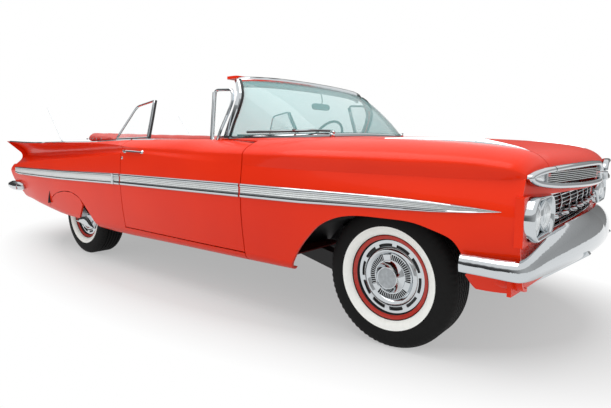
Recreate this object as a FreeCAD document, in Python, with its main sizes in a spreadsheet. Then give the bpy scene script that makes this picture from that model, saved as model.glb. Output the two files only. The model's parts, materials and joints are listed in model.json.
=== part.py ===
import FreeCAD, Part
import math
import os

os.makedirs("parts", exist_ok=True)
doc = FreeCAD.newDocument("convertible")
V = FreeCAD.Vector

# Driving dimensions in millimetres. The front of the car faces -Y, its left side is +X.
sizes = {
    "shell_reach": 2500.0,
    "shell_half": 1000.0,
    "belt_height": 1000.0,
    "skin": 14.0,
    "panel_gap": 7.0,
    "fit_gap": 0.1,
    "seat_gap": 0.3,
    "glaze_gap": 0.8,
    "run_gap": 1.0,
    "clear_gap": 6.0,
    "overrun": 400.0,
    "front_axle": 1797.0,
    "wheel_base": 3022.0,
    "front_track": 1540.0,
    "rear_track": 1510.0,
    "tyre_radius": 342.0,
    "tyre_width": 212.0,
    "bead_radius": 184.0,
    "rim_width": 150.0,
    "rim_wall": 6.0,
    "hub_bore": 30.0,
    "stub_out": 66.0,
    "kingpin_half": 690.0,
    "kingpin_radius": 22.0,
    "knuckle_reach": 25.0,
    "drum_radius": 142.0,
    "plate_width": 8.0,
    "plate_inset": 55.0,
    "diff_radius": 120.0,
    "spring_radius": 50.0,
    "lower_arm_height": 208.0,
    "upper_arm_height": 455.0,
    "arm_wall": 20.0,
    "front_cross_top": 230.0,
    "door_front": 918.0,
    "door_rear": 351.0,
    "door_depth": 215.0,
    "door_slant": 18.0,
    "pillar_foot": 545.0,
    "hinge_leaf": 90.0,
    "hinge_pad": 70.0,
    "hinge_wall": 8.0,
    "handle_front": 62.0,
    "handle_length": 259.0,
    "handle_height": 907.0,
    "handle_wall": 13.0,
    "hood_rear": 1236.0,
    "hood_split": 745.0,
    "cowl_gap": 12.0,
    "lid_front": 1500.0,
    "lid_split": 700.0,
    "lip_height": 860.0,
    "lip_reach": 2554.0,
    "lip_sweep": 134.0,
    "nose_half": 930.0,
    "nose_start": 2300.0,
    "face_plane": 2420.0,
    "face_bow": 40.0,
    "panel_wall": 16.0,
    "lamp_radius": 66.0,
    "lamp_height": 700.0,
    "lamp_mid": 811.5,
    "lamp_pitch": 173.0,
    "bezel_half": 87.5,
    "bezel_depth": 29.7,
    "grille_bar": 12.0,
    "blade_wall": 9.0,
    "bracket_wall": 30.0,
    "frame_clear": 175.0,
    "frame_depth": 110.0,
    "frame_rail": 80.0,
    "frame_half": 370.0,
    "kick_half": 450.0,
    "cross_depth": 70.0,
    "tub_half": 792.0,
    "floor_sheet": 10.0,
    "firewall": 1135.0,
    "pan_height": 535.0,
    "trunk_height": 435.0,
    "tunnel_half": 130.0,
    "tunnel_height": 425.0,
    "bulkhead_half": 640.0,
    "house_wall": 8.0,
    "front_house_radius": 440.0,
    "front_house_in": 455.0,
    "rear_house_radius": 400.0,
    "rear_house_in": 612.0,
    "engine_front": 2040.0,
    "engine_length": 680.0,
    "engine_half": 270.0,
    "engine_foot": 330.0,
    "engine_height": 550.0,
    "sump_half": 120.0,
    "sump_inset": 110.0,
    "gearbox_half": 105.0,
    "gearbox_foot": 300.0,
    "gearbox_depth": 105.0,
    "gearbox_length": 560.0,
    "radiator_front": 2300.0,
    "radiator_depth": 60.0,
    "radiator_half": 300.0,
    "radiator_foot": 400.0,
    "radiator_height": 460.0,
    "carrier_half": 345.0,
    "carrier_wall": 10.0,
    "tank_half": 380.0,
    "tank_front": 1745.0,
    "tank_length": 505.0,
    "tank_depth": 129.7,
    "pipe_radius": 24.0,
    "silencer_half": 70.0,
    "glass_wall": 6.0,
    "frame_tube": 16.0,
    "base_tube": 10.0,
    "vent_wall": 14.0,
    "pane_wall": 12.0,
    "mirror_half": 110.0,
    "mirror_wall": 12.0,
    "wiper_lift": 12.0,
    "wiper_rod": 4.0,
    "dash_wall": 10.0,
    "column_tilt": 28.0,
    "column_length": 690.0,
    "column_radius": 28.0,
    "wheel_side": 400.0,
    "wheel_back": 477.0,
    "wheel_height": 984.0,
    "wheel_radius": 200.0,
    "grip_radius": 12.0,
    "boot_depth": 85.0,
    "antenna_rod": 3.0,
}
sheet = doc.addObject("Spreadsheet::Sheet", "sizes")
for row, (word, value) in enumerate(sizes.items(), start=1):
    sheet.set("A%d" % row, word)
    sheet.set("B%d" % row, str(value))
    sheet.setAlias("B%d" % row, word)
doc.recompute()


def cell(word):
    return float(getattr(sheet, word))


reach = cell("shell_reach")
half = cell("shell_half")
belt = cell("belt_height")
skin = cell("skin")
gap = cell("panel_gap")
tyre_radius = cell("tyre_radius")
hub_height = tyre_radius
front_axle_y = -cell("front_axle")
rear_axle_y = front_axle_y + cell("wheel_base")
overrun = cell("overrun")
seat_gap = cell("seat_gap")
run_gap = cell("run_gap")
door_front_y = -cell("door_front")
door_rear_y = cell("door_rear")
inner_half = half - cell("door_depth")
hood_rear_y = -cell("hood_rear")
hood_split = cell("hood_split")
lid_front_y = cell("lid_front")
lid_split = cell("lid_split")
lip_z = cell("lip_height")
nodes = []

# Rows of the body side: station as a share of the reach, then width or height shares.
line_shares = {
    "bottom_w": [(-.968, .84), (-.719, .885), (-.37, .892), (.14, .895), (.49, .89), (.76, .87), (1, .82)],
    "bottom_z": [(-.968, .4), (-.898, .398), (-.719, .34), (-.505, .3), (-.12, .288), (.206, .278),
                 (.315, .282), (.49, .305), (.706, .352), (.922, .402), (1.04, .41)],
    "seam_w": [(-.968, .925), (-.719, .955), (-.37, .964), (.14, .966), (.49, .962), (.76, .948), (1, .9)],
    "seam_z": [(-.968, .455), (-.898, .45), (-.719, .395), (-.505, .35), (-.12, .345), (.206, .345),
               (.49, .36), (.706, .405), (.922, .455), (1.04, .46)],
    "mid_w": [(-.968, .986), (-.84, .998), (-.719, 1), (.14, 1), (.49, 1), (.76, .99), (1, .958),
              (1.048, .95)],
    "mid_z": [(-.968, .712), (-.719, .722), (-.37, .714), (.14, .706), (.49, .69), (1, .682)],
    "valley_w": [(-.968, .938), (-.88, .958), (-.719, .968), (-.52, .978), (-.37, .987), (-.12, .992),
                 (.085, .99), (.28, .99), (.49, .988), (.76, .98), (1, .948)],
    "valley_z": [(-.968, .852), (-.857, .845), (-.719, .846), (-.557, .846), (-.37, .856), (-.12, .88),
                 (.085, .903), (.172, .89), (.396, .851), (.6, .82), (.774, .788), (1, .74)],
    "edge_w": [(-.968, .955), (-.88, .982), (-.719, .988), (-.37, .984), (-.12, .98), (.085, .984),
               (.28, .986), (.49, .986), (.76, .984), (1.018, .968), (1.048, .966)],
    "edge_z": [(-.968, .88), (-.88, .905), (-.719, .908), (-.37, .912), (-.12, .918), (.085, .938),
               (.16, .955), (.28, .965), (.49, .967), (.76, .96), (1.018, .97), (1.048, .971)],
    "top_w": [(-.968, .745), (-.37, .745), (-.24, .78), (-.12, .88), (.14, .88), (.28, .86), (.44, .74),
              (.6, .7), (1.048, .7)],
    "top_z": [(-.968, .962), (-.867, .992), (-.719, 1.008), (-.52, 1.012), (-.37, 1.012), (-.12, 1),
              (.14, .996), (.28, .985), (.49, .965), (.76, .948), (1.048, .925)],
    "crown_z": [(-.968, .985), (-.867, 1.01), (-.719, 1.025), (-.37, 1.035), (.14, 1), (.49, .95),
                (.76, .905), (1.048, .85)],
    "cove_w": [(-.968, .006), (-.719, .006), (-.37, 0), (-.12, -.003), (.085, -.004), (.2, -.03),
               (.36, -.07), (.56, -.12), (1.048, -.19)],
    "cove_z": [(-.968, .012), (-.719, .02), (-.37, .018), (-.12, .014), (.085, .012), (.2, .008),
               (1.048, .006)],
    "under_w": [(-.968, 0), (-.12, 0), (.085, -.004), (.2, -.04), (.36, -.08), (.56, -.13), (1.048, -.21)],
    "under_z": [(-.968, -.014), (-.719, -.02), (-.37, -.018), (-.12, -.014), (.085, -.012), (.2, -.02),
                (.36, -.03), (1.048, -.04)],
    "over_w": [(-.968, 0), (0, 0), (.085, -.008), (.2, -.05), (.36, -.08), (1.048, -.09)],
    "over_z": [(-.968, .03), (-.719, .045), (-.12, .042), (0, .03), (.085, .02), (.2, .008), (1.048, .003)],
    "lobe_w": [(-.968, .02), (-.719, .018), (-.37, .006), (-.12, .004), (.085, .006), (1.048, .01)],
}


def smooth(keys, x):
    # Cubic through the keys, flat where they turn, straight beyond the ends.
    xs = [k[0] for k in keys]
    ys = [k[1] for k in keys]
    slopes = [(b - a) / (d - c) for a, b, c, d in zip(ys, ys[1:], xs, xs[1:])]
    if x <= xs[0]:
        return ys[0] + (x - xs[0]) * slopes[0]
    if x >= xs[-1]:
        return ys[-1] + (x - xs[-1]) * slopes[-1]
    tangents = [slopes[0]]
    for before, after in zip(slopes, slopes[1:]):
        tangents.append(0 if before * after <= 0 else 2 * before * after / (before + after))
    tangents.append(slopes[-1])
    i = max(k for k in range(len(xs) - 1) if xs[k] <= x)
    width = xs[i + 1] - xs[i]
    t = (x - xs[i]) / width
    return ((2 * t**3 - 3 * t**2 + 1) * ys[i] + (t**3 - 2 * t**2 + t) * width * tangents[i]
            + (3 * t**2 - 2 * t**3) * ys[i + 1] + (t**3 - t**2) * width * tangents[i + 1])


def line(word, y):
    return smooth(line_shares[word], y / reach)


# Columns of a section, from the bottom edge round to the middle of the top.
(bottom_column, seam_column, mid_column, valley_column, edge_column, split_column,
 middle_column) = range(0, 19, 3)


def section(y):
    def point(width_word, height_word):
        return V(half * line(width_word, y), y, belt * line(height_word, y))

    def shift(point_at, width_word, height_word):
        return point_at + V(half * line(width_word, y), 0, belt * line(height_word, y))

    bottom = point("bottom_w", "bottom_z")
    seam = point("seam_w", "seam_z")
    mid = point("mid_w", "mid_z")
    valley = point("valley_w", "valley_z")
    edge = point("edge_w", "edge_z")
    top = point("top_w", "top_z")
    crown = V(0, y, belt * line("crown_z", y))
    lobe = half * line("lobe_w", y)
    return [bottom,
            V(bottom.x + .6 * (seam.x - bottom.x), y, bottom.z),
            V(seam.x - .1 * (seam.x - bottom.x), y, seam.z - .5 * (seam.z - bottom.z)),
            seam,
            V(seam.x + .6 * (mid.x - seam.x), y, seam.z + (mid.z - seam.z) / 3),
            V(mid.x, y, mid.z - (mid.z - seam.z) / 3),
            mid,
            V(mid.x, y, mid.z + (valley.z - mid.z) / 3),
            V(valley.x + lobe, y, valley.z - (valley.z - mid.z) / 3),
            valley,
            shift(valley, "cove_w", "cove_z"),
            shift(edge, "under_w", "under_z"),
            edge,
            shift(edge, "over_w", "over_z"),
            V(top.x + .35 * (edge.x - top.x), y, top.z + .02 * (edge.x - top.x)),
            top,
            V(top.x * .66, y, top.z + .4 * (crown.z - top.z)),
            V(top.x * .33, y, crown.z),
            crown]


def lip(x):
    return -cell("lip_reach") + cell("lip_sweep") * (x / cell("nose_half")) ** 2


nose_turn_shares = (.45, .734, .904, 1)
nose_width_shares = (.935, .86, .801, .529, .265, 0)


def nose_rows():
    # The last full section rolls forward and down to the hood lip on an elliptical quarter turn.
    last = section(-cell("nose_start"))
    front = section(-cell("face_plane"))
    ends = []
    for j, p in enumerate(front):
        if j <= valley_column:
            ends.append(p)
        elif j <= edge_column:
            x = cell("nose_half") - (j - valley_column) * gap / 2
            ends.append(V(x, lip(x), lip_z))
        else:
            x = cell("nose_half") * nose_width_shares[j - edge_column - 1]
            ends.append(V(x, lip(x), lip_z))
    rows = []
    for share in nose_turn_shares:
        rise = math.sin(share * math.pi / 2)
        fall = math.cos(share * math.pi / 2)
        row = []
        for j, (p, q) in enumerate(zip(last, ends)):
            if j <= valley_column:
                row.append(p + (q - p) * share)
            else:
                row.append(V(p.x + (q.x - p.x) * (1 - fall), p.y + (q.y - p.y) * rise,
                             q.z + (p.z - q.z) * fall))
        rows.append(row)
    return rows


side_station_shares = (-.88, -.8, -.719, -.62, -.52, -.44)
nose_params = [cell("nose_start") + share * (cell("lip_reach") - cell("nose_start")) for share in nose_turn_shares]


def front_net(rear_y):
    stations = [share * reach for share in side_station_shares if share * reach < rear_y - skin * 3]
    rows = nose_rows()[::-1]
    params = [-p for p in nose_params[::-1]]
    for y in [-cell("nose_start")] + stations + [rear_y]:
        rows.append(section(y))
        params.append(y)
    return rows, params


def plain_net(stations):
    return [section(y) for y in stations], list(stations)


tail_shares = (.922, .925, .93, .936, .97, 1.0, 1.015, 1.01, .995, .985, .989, 1.016, 1.034, 1.034, 1.034,
               1.03, 1.028, 1.026, 1.024)
tail_start_share = .76
tail_step_shares = (.35, .7, 1)


def rear_net(front_y, station_shares):
    rows = [section(front_y)]
    params = [front_y]
    for share in station_shares:
        rows.append(section(share * reach))
        params.append(share * reach)
    start = tail_start_share * reach
    for step in tail_step_shares:
        row = []
        for j, share in enumerate(tail_shares):
            row.append(section(start + step * (share * reach - start))[j])
        rows.append(row)
        params.append(start + step * (max(tail_shares) * reach - start))
    return rows, params


def inward(rows, thickness):
    # The same net moved inwards, square to the surface, by the sheet's thickness.
    result = []
    last_row = len(rows) - 1
    last_column = len(rows[0]) - 1
    for i, row in enumerate(rows):
        moved = []
        for j, p in enumerate(row):
            along = rows[min(i + 1, last_row)][j] - rows[max(i - 1, 0)][j]
            across = row[min(j + 1, last_column)] - row[max(j - 1, 0)]
            normal = along.cross(across)
            normal.normalize()
            q = p - normal * thickness
            if abs(p.x) < 1e-6:
                q = V(0, q.y, q.z)
            moved.append(q)
        result.append(moved)
    return result


def curve(points, params):
    spline = Part.BSplineCurve()
    spline.interpolate(Points=points, Parameters=params)
    return spline


def strip(rails, params):
    # One surface spanned by rails that run along the car, two for a straight span, four for a curved one.
    curves = [curve(rail, params) for rail in rails]
    poles = [[c.getPole(i + 1) for c in curves] for i in range(curves[0].NbPoles)]
    degree = len(rails) - 1
    surface = Part.BSplineSurface()
    surface.buildFromPolesMultsKnots(poles, curves[0].getMultiplicities(), [degree + 1, degree + 1],
                                     curves[0].getKnots(), [0.0, 1.0], False, False, curves[0].Degree,
                                     degree)
    return surface.toShape()


def end_face(outer, inner):
    surface = Part.BSplineSurface()
    surface.buildFromPolesMultsKnots([outer, inner], [2, 2], [4, 4], [0.0, 1.0], [0.0, 1.0], False, False,
                                     1, 3)
    return surface.toShape()


def slab(outer, inner, params, first=0, last=None):
    # A closed wall between two nets, over the columns from first to last.
    last = len(outer[0]) - 1 if last is None else last
    faces = []
    for j in range(first, last, 3):
        for net in (outer, inner):
            faces.append(strip([[row[j + k] for row in net] for k in range(4)], params))
        for i in (0, -1):
            faces.append(end_face(outer[i][j:j + 4], inner[i][j:j + 4]))
    for j in (first, last):
        faces.append(strip([[row[j] for row in outer], [row[j] for row in inner]], params))
    shell = Part.makeShell(faces)
    shell.sewShape(.01)
    solid = Part.makeSolid(shell if shell.ShapeType == "Shell" else shell.Shells[0])
    if solid.Volume < 0:
        solid.reverse()
    return solid


def mirrored(shape):
    return shape.mirror(V(0, 0, 0), V(1, 0, 0))


def both(shape):
    return Part.makeCompound([shape, mirrored(shape)])


def box(low, high):
    return Part.makeBox(high[0] - low[0], high[1] - low[1], high[2] - low[2], V(*low))


def plan(shares):
    # Places seen from above, from shares of the half width and the reach.
    return [(x * half, y * reach) for x, y in shares]


def profile(shares):
    # Places seen from the side, from shares of the reach and the belt height.
    return [(y * reach, z * belt) for y, z in shares]


def face(shares):
    # Places seen from the front, from shares of the half width and the belt height.
    return [(x * half, z * belt) for x, z in shares]


def spots(shares):
    return [V(x * half, y * reach, z * belt) for x, y, z in shares]


def prism(points, direction, smooth_from=None):
    # A flat outline carried along a direction, closed with straight lines.
    if smooth_from is None:
        wire = Part.makePolygon(points + points[:1])
    else:
        spline = Part.BSplineCurve()
        spline.interpolate(points[:smooth_from])
        wire = Part.Wire([spline.toShape()] + Part.makePolygon(points[smooth_from - 1:] + points[:1]).Edges)
    return Part.Face(wire).extrude(direction)


def add(label, shape):
    feature = doc.addObject("Part::Feature", label)
    feature.Label = label
    feature.Shape = shape
    nodes.append(feature)
    return feature


def twin(label, source):
    # The same piece on the car's other side.
    thing = doc.addObject("Part::Mirroring", label)
    thing.Label = label
    thing.Source = source
    thing.Normal = V(1, 0, 0)
    nodes.append(thing)


# Front wheel arch and rear wheel arch, as shares of the tyre radius from the wheel's centre line.
front_arch_shares = [(1.62, .85), (1.564, .933), (1.351, 1.266), (1.143, 1.5), (.965, 1.664), (.787, 1.769),
                     (.585, 1.845), (.289, 1.898), (-.167, 1.909), (-.588, 1.892), (-.874, 1.816),
                     (-1.06, 1.735), (-1.155, 1.596), (-1.237, 1.345), (-1.33, 1.1)]
rear_arch_shares = [(-1.36, .72), (-1.278, .819), (-1.056, 1.088), (-.825, 1.327), (-.62, 1.5),
                    (-.234, 1.615),
                    (.205, 1.617), (.643, 1.535), (1.003, 1.377), (1.348, 1.088), (1.6, .8)]


def arch(shares, axle_y, grow=0):
    def place(share):
        dy = share[0] * tyre_radius
        dz = share[1] * tyre_radius
        length = math.hypot(dy, dz)
        return V(half / 2, axle_y + dy * (1 + grow / length), dz * (1 + grow / length))

    points = [place(share) for share in shares]
    points.append(V(half / 2, points[-1].y, -overrun))
    points.append(V(half / 2, points[0].y, -overrun))
    return prism(points, V(half, 0, 0), len(shares))


front_arch = arch(front_arch_shares, front_axle_y)
rear_arch = arch(rear_arch_shares, rear_axle_y)


def plane_inner(rows, x, first_shift=0, last_shift=0):
    # The net's other face as a flat wall at one distance from the car's middle.
    result = []
    for i, row in enumerate(rows):
        slide = first_shift if i == 0 else last_shift if i == len(rows) - 1 else 0
        result.append([V(x, p.y + slide, p.z) for p in row])
    return result


# Front fenders
fender_end_y = door_front_y - gap
rows, params = front_net(fender_end_y)
for row in rows:
    row[split_column] = row[split_column] + V(gap / 2, 0, 0)
fender = slab(rows, inward(rows, skin), params, 0, split_column)
post_ends = (fender_end_y - 3 * skin, fender_end_y - 1.5 * skin, fender_end_y - seat_gap)
post_rows, post_params = plain_net(post_ends)
post_inner = plane_inner(post_rows, inner_half)
post = slab(inward(post_rows, skin + seat_gap), post_inner, post_params, 0, edge_column)
leaf_foot_shares = (.45, .8)
leaf_out = .955 * half
hinge_leaves = [box((inner_half + skin, fender_end_y - skin / 2, share * belt),
                    (leaf_out, door_front_y - seat_gap, share * belt + cell("hinge_leaf")))
                for share in leaf_foot_shares]
fender_left = Part.makeCompound([fender.cut(front_arch), post.fuse(hinge_leaves)])

# Doors
def split_at(points, share):
    # The cubic through four points, cut in two at a share of its run.
    a, b, c, d = points
    ab, bc, cd = a + (b - a) * share, b + (c - b) * share, c + (d - c) * share
    abc, bcd = ab + (bc - ab) * share, bc + (cd - bc) * share
    at = abc + (bcd - abc) * share
    return [a, ab, abc, at], [at, bcd, cd, d]


door_top_shares = [(-.37, .5), (-.3, .6), (-.22, .8), (-.12, 1), (.2, 1)]
sweep_shares = (-.33, -.22, -.12, -.03, .06)
rows, params = plain_net([door_front_y] + [share * reach for share in sweep_shares] + [door_rear_y])
wing_end_y = -cell("pillar_foot")
for row in rows:
    y = row[0].y
    row[seam_column] = row[seam_column] + V(0, 0, gap)
    if smooth(door_top_shares, y / reach) < 1:
        row[edge_column:split_column + 1] = split_at(row[edge_column:split_column + 1],
                                                     smooth(door_top_shares, y / reach))[0]
door_inner = plane_inner(rows, inner_half, 0, -cell("door_slant"))
for row in door_inner:
    for j in range(edge_column, split_column + 1):
        row[j] = row[j] - V(0, 0, 2 * skin * (j - edge_column) / (split_column - edge_column))
door = slab(rows, door_inner, params, seam_column, split_column)

# Cowl wings that carry the windshield's feet over the doors' front corners
wing_stations = [fender_end_y + seat_gap, door_front_y + .4 * (wing_end_y - door_front_y), wing_end_y]
wing_rows = []
for y in wing_stations:
    full = section(y)
    wide = split_at(full[edge_column:split_column + 1], min(1, smooth(door_top_shares, y / reach) + .12))[1]
    wing_rows.append(wide)
wing = slab(wing_rows, inward(wing_rows, skin / 2), wing_stations)

# Rocker panels under the doors
wide_stations = [fender_end_y + gap] + [share * reach for share in sweep_shares] + [door_rear_y + gap]
rows, params = plain_net(wide_stations)
rocker = slab(rows, plane_inner(rows, inner_half + gap), params, 0, seam_column)

# Rear quarters with their fins
quarter_start_y = door_rear_y + gap
rows, params = rear_net(quarter_start_y, (.2, .28, .38, .49, .6, .68, .76))
quarter_inner = inward(rows, skin)
for outer_row, inner_row in zip(rows, quarter_inner):
    low = inner_row[valley_column]
    high = outer_row[split_column] - V(0, 0, skin)
    for j in range(valley_column, split_column + 1):
        share = (j - valley_column) / (split_column - valley_column)
        inner_row[j] = low + (high - low) * share
for row in rows:
    row[split_column] = row[split_column] + V(gap / 2, 0, 0)
quarter_rows = rows
quarter_slab = slab(rows, quarter_inner, params, 0, split_column)
jamb_ends = (quarter_start_y + seat_gap, quarter_start_y + 1.5 * skin, quarter_start_y + 3 * skin)
jamb_rows, jamb_params = plain_net(jamb_ends)
jamb = slab(inward(jamb_rows, skin + seat_gap), plane_inner(jamb_rows, inner_half), jamb_params,
            0, edge_column)
quarter = Part.makeCompound([quarter_slab.cut(rear_arch), jamb])

# Fender skirts
skirt_shares = [(-.72, 1.36), (-.62, 1.5), (-.234, 1.615), (.205, 1.617), (.643, 1.535), (1.003, 1.377),
                (1.348, 1.088)]


def skirt_outline():
    points = []
    for share in skirt_shares:
        dy = share[0] * tyre_radius
        dz = share[1] * tyre_radius - gap / 2
        points.append(V(half / 2, rear_axle_y + dy, dz))
    points.append(V(half / 2, rear_axle_y + 1.24 * tyre_radius, 1.0 * tyre_radius))
    points.append(V(half / 2, rear_axle_y - .4 * tyre_radius, .97 * tyre_radius))
    return prism(points, V(half, 0, 0))


skirt = quarter_slab.common(skirt_outline())

# Hood
rows, params = front_net(hood_rear_y)
for row in rows:
    row[split_column] = row[split_column] - V(gap / 2, 0, 0)
hood_half = slab(rows, inward(rows, skin), params, split_column, middle_column)
hood = hood_half.fuse(mirrored(hood_half)).removeSplitter()
intake_shares = [(.11, .812), (.09, .845), (.11, .885), (.17, .9), (.5, .896), (.76, .884), (.9, .862),
                 (.86, .838),
                 (.7, .822), (.4, .812)]
intake_start_y = -cell("nose_start") - overrun
intake_end_y = .02 * reach - cell("nose_start")
intake = [prism([V(way * x, intake_start_y, z) for x, z in face(intake_shares)],
                V(0, intake_end_y - intake_start_y, 0))
          for way in (1, -1)]
hood = hood.cut(intake)

# Cowl between the hood and the cabin
cowl_front_y = hood_rear_y + cell("cowl_gap")
cowl_shares = (-.44, -.4)
rows, params = plain_net([cowl_front_y] + [share * reach for share in cowl_shares] + [fender_end_y])
for row in rows:
    row[split_column] = row[split_column] + V(gap / 2 - seat_gap, 0, 0)
cowl_half = slab(rows, inward(rows, skin), params, split_column, middle_column)


def hinge_pads(joint_y, side, low_x):
    # Small plates that stand off a fixed panel's edge and carry the lid beside it.
    pad = cell("hinge_pad")
    web = gap - run_gap
    depth = skin + cell("hinge_wall")
    pad_rows, pad_params = plain_net(sorted([joint_y, joint_y + side * pad / 2, joint_y + side * pad]))
    plate = slab(inward(pad_rows, skin + seat_gap), inward(pad_rows, depth), pad_params, split_column,
                 middle_column)
    web_rows, web_params = plain_net(sorted([joint_y, joint_y - side * web / 2, joint_y - side * web]))
    foot = slab(inward(web_rows, skin - run_gap), inward(web_rows, depth), web_params, split_column,
                middle_column)
    keep = box((low_x, joint_y - overrun, belt - overrun), (low_x + pad, joint_y + overrun, belt + overrun))
    return [plate.common(keep), foot.common(keep)]


cowl_half = cowl_half.fuse(hinge_pads(cowl_front_y, -1, .45 * half))
cowl = cowl_half.fuse([wing, mirrored(cowl_half), mirrored(wing)])

# Rear deck panel and trunk lid
rows, params = plain_net([share * reach for share in (.44, .52)] + [lid_front_y - gap])
for row in rows:
    row[split_column] = row[split_column] - V(seat_gap, 0, 0)
deck_inner = inward(rows, skin)
for row, inner_row in zip(rows, deck_inner):
    inner_row[split_column] = row[split_column] - V(0, 0, skin)
deck_half = slab(rows, deck_inner, params, split_column, middle_column)
deck_half = deck_half.fuse(hinge_pads(lid_front_y - gap, 1, .42 * half))
deck = deck_half.fuse(mirrored(deck_half))

lid_station_shares = (.7, .82, .93, 1.0)
rows, params = plain_net([lid_front_y] + [share * reach for share in lid_station_shares])
drop_shares = ((.5, .15), (.9, .5), (1, 1))
lid_drop = .045 * belt
last = rows[-1]
for out, down in drop_shares:
    rows.append([p + V(0, out * .018 * reach, -down * lid_drop) for p in last])
    params.append(params[-1] + .008 * reach)
for row in rows:
    row[split_column] = row[split_column] - V(gap / 2, 0, 0)
lid_half = slab(rows, inward(rows, skin), params, split_column, middle_column)
lid = lid_half.fuse(mirrored(lid_half)).removeSplitter()

# Door handles: a bar on two feet
handle_wall = cell("handle_wall")
handle_start = cell("handle_front")
handle_end = handle_start + cell("handle_length")
handle_z = cell("handle_height")
handle_x = half * line("valley_w", handle_end)


def handle_box(low_x, high_x, low_y, high_y):
    return box((low_x, low_y, handle_z - handle_wall / 2), (high_x, high_y, handle_z + handle_wall / 2))


handle = handle_box(handle_x + gap, handle_x + gap + handle_wall, handle_start, handle_end)
handle = handle.fuse([handle_box(handle_x - skin, handle_x + gap + handle_wall / 2, y, y + 2 * handle_wall)
                      for y in (handle_start, handle_end - 2 * handle_wall)])
handle = max(handle.cut([door]).Solids, key=lambda piece: piece.Volume)

twin("fender_right", add("fender_left", fender_left))
twin("door_right", add("door_left", door))
twin("door_handle_right", add("door_handle_left", handle))
add("rocker_panels", both(rocker))
twin("quarter_right", add("quarter_left", quarter))
add("fender_skirts", both(skirt))
add("hood", hood)
add("cowl", cowl)
add("rear_deck", deck)
add("trunk_lid", lid)


def band(points, width):
    # The outline of a strip of even width laid along a bent line.
    left, right = [], []
    for i, p in enumerate(points):
        before = points[max(i - 1, 0)]
        after = points[min(i + 1, len(points) - 1)]
        one = V(p[0] - before[0], p[1] - before[1], 0) if i else V(after[0] - p[0], after[1] - p[1], 0)
        two = V(after[0] - p[0], after[1] - p[1], 0) if i < len(points) - 1 else V(one)
        one.normalize()
        two.normalize()
        mitre = V(-one.y, one.x, 0) + V(-two.y, two.x, 0)
        mitre = mitre * (width / (mitre.Length ** 2))
        left.append((p[0] + mitre.x, p[1] + mitre.y))
        right.append((p[0] - mitre.x, p[1] - mitre.y))
    return left + right[::-1]


def plan_bar(points, width, low, high):
    return prism([V(x, y, low) for x, y in band(points, width)], V(0, 0, high - low))


def side_bar(points, width, low, high):
    return prism([V(low, y, z) for y, z in band(points, width)], V(high - low, 0, 0))


def side_prism(shares, low, high):
    return prism([V(low, y, z) for y, z in profile(shares)], V(high - low, 0, 0))


def rod(start, end, radius):
    start, end = V(*start), V(*end)
    return Part.makeCylinder(radius, (end - start).Length, start, end - start)


def cross_rod(x_low, x_high, y, z, radius):
    return rod((x_low, y, z), (x_high, y, z), radius)


def fused(shapes):
    return shapes[0].fuse(shapes[1:]).removeSplitter()


def largest(shape):
    return max(shape.Solids, key=lambda piece: piece.Volume)


def block(label, low, high):
    # A box whose corners are formulas of the sheet's sizes.
    thing = doc.addObject("Part::Box", label)
    thing.Label = label
    for axis_word, length_word, one, two in zip("xyz", ("Length", "Width", "Height"), low, high):
        thing.setExpression("Placement.Base." + axis_word, one)
        thing.setExpression(length_word, "(%s) - (%s)" % (two, one))
    return thing


def spindle(label, place, turn, radius, length):
    # A cylinder whose place, radius and length are formulas of the sheet's sizes.
    thing = doc.addObject("Part::Cylinder", label)
    thing.Label = label
    thing.Placement = FreeCAD.Placement(V(0, 0, 0), turn)
    for axis_word, formula in zip("xyz", place):
        thing.setExpression("Placement.Base." + axis_word, formula)
    thing.setExpression("Radius", radius)
    thing.setExpression("Height", length)
    return thing


def union(label, members):
    thing = doc.addObject("Part::MultiFuse", label)
    thing.Label = label
    thing.Shapes = members
    nodes.append(thing)
    return thing


# Chassis frame, crossed in the middle and raised over the rear axle
rail = cell("frame_rail")
rail_low = cell("frame_clear")
rail_high = rail_low + cell("frame_depth")
rail_mid_x = cell("frame_half")
kick_mid_x = cell("kick_half")
front_rail_shares = [(.06, -.192), (.37, -.46), (.37, -.932)]
rear_rail_shares = [(.06, .192), (.45, .36)]
kick_shares = [(.34, .235), (.372, .26), (.416, .48), (.588, .48), (.656, .38), (.916, .38)]
centre_shares = (.11, .2)
rail_end_y = kick_shares[-1][0] * reach
kick_top = max(z for y, z in kick_shares) * belt + rail / 2
tail_rail_z = kick_shares[-1][1] * belt
rail_front = plan_bar(plan(front_rail_shares), rail, rail_low, rail_high)
rail_rear = plan_bar(plan(rear_rail_shares), rail, rail_low, rail_high)
rail_kick = side_bar(profile(kick_shares), rail, kick_mid_x - rail / 2, kick_mid_x + rail / 2)
centre = box((-centre_shares[0] * half, -centre_shares[1] * reach, rail_low),
             (centre_shares[0] * half, centre_shares[1] * reach, rail_high))
frame_parts = [centre, rail_front, mirrored(rail_front), rail_rear, mirrored(rail_rear), rail_kick,
               mirrored(rail_kick)]
cross_depth = cell("cross_depth")
for cross_y, cross_width in ((kick_shares[4][0] * reach, cross_depth),
                             (rail_end_y - cross_depth / 2, cross_depth / 2)):
    frame_parts.append(box((-kick_mid_x, cross_y, tail_rail_z - cross_depth / 2),
                           (kick_mid_x, cross_y + cross_width, tail_rail_z + cross_depth / 2)))
nose_cross_y = front_rail_shares[-1][1] * reach
frame_parts.append(box((-rail_mid_x, nose_cross_y, rail_low),
                       (rail_mid_x, nose_cross_y + cross_depth, rail_high)))
chassis = fused(frame_parts)
add("chassis_frame", chassis)

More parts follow.
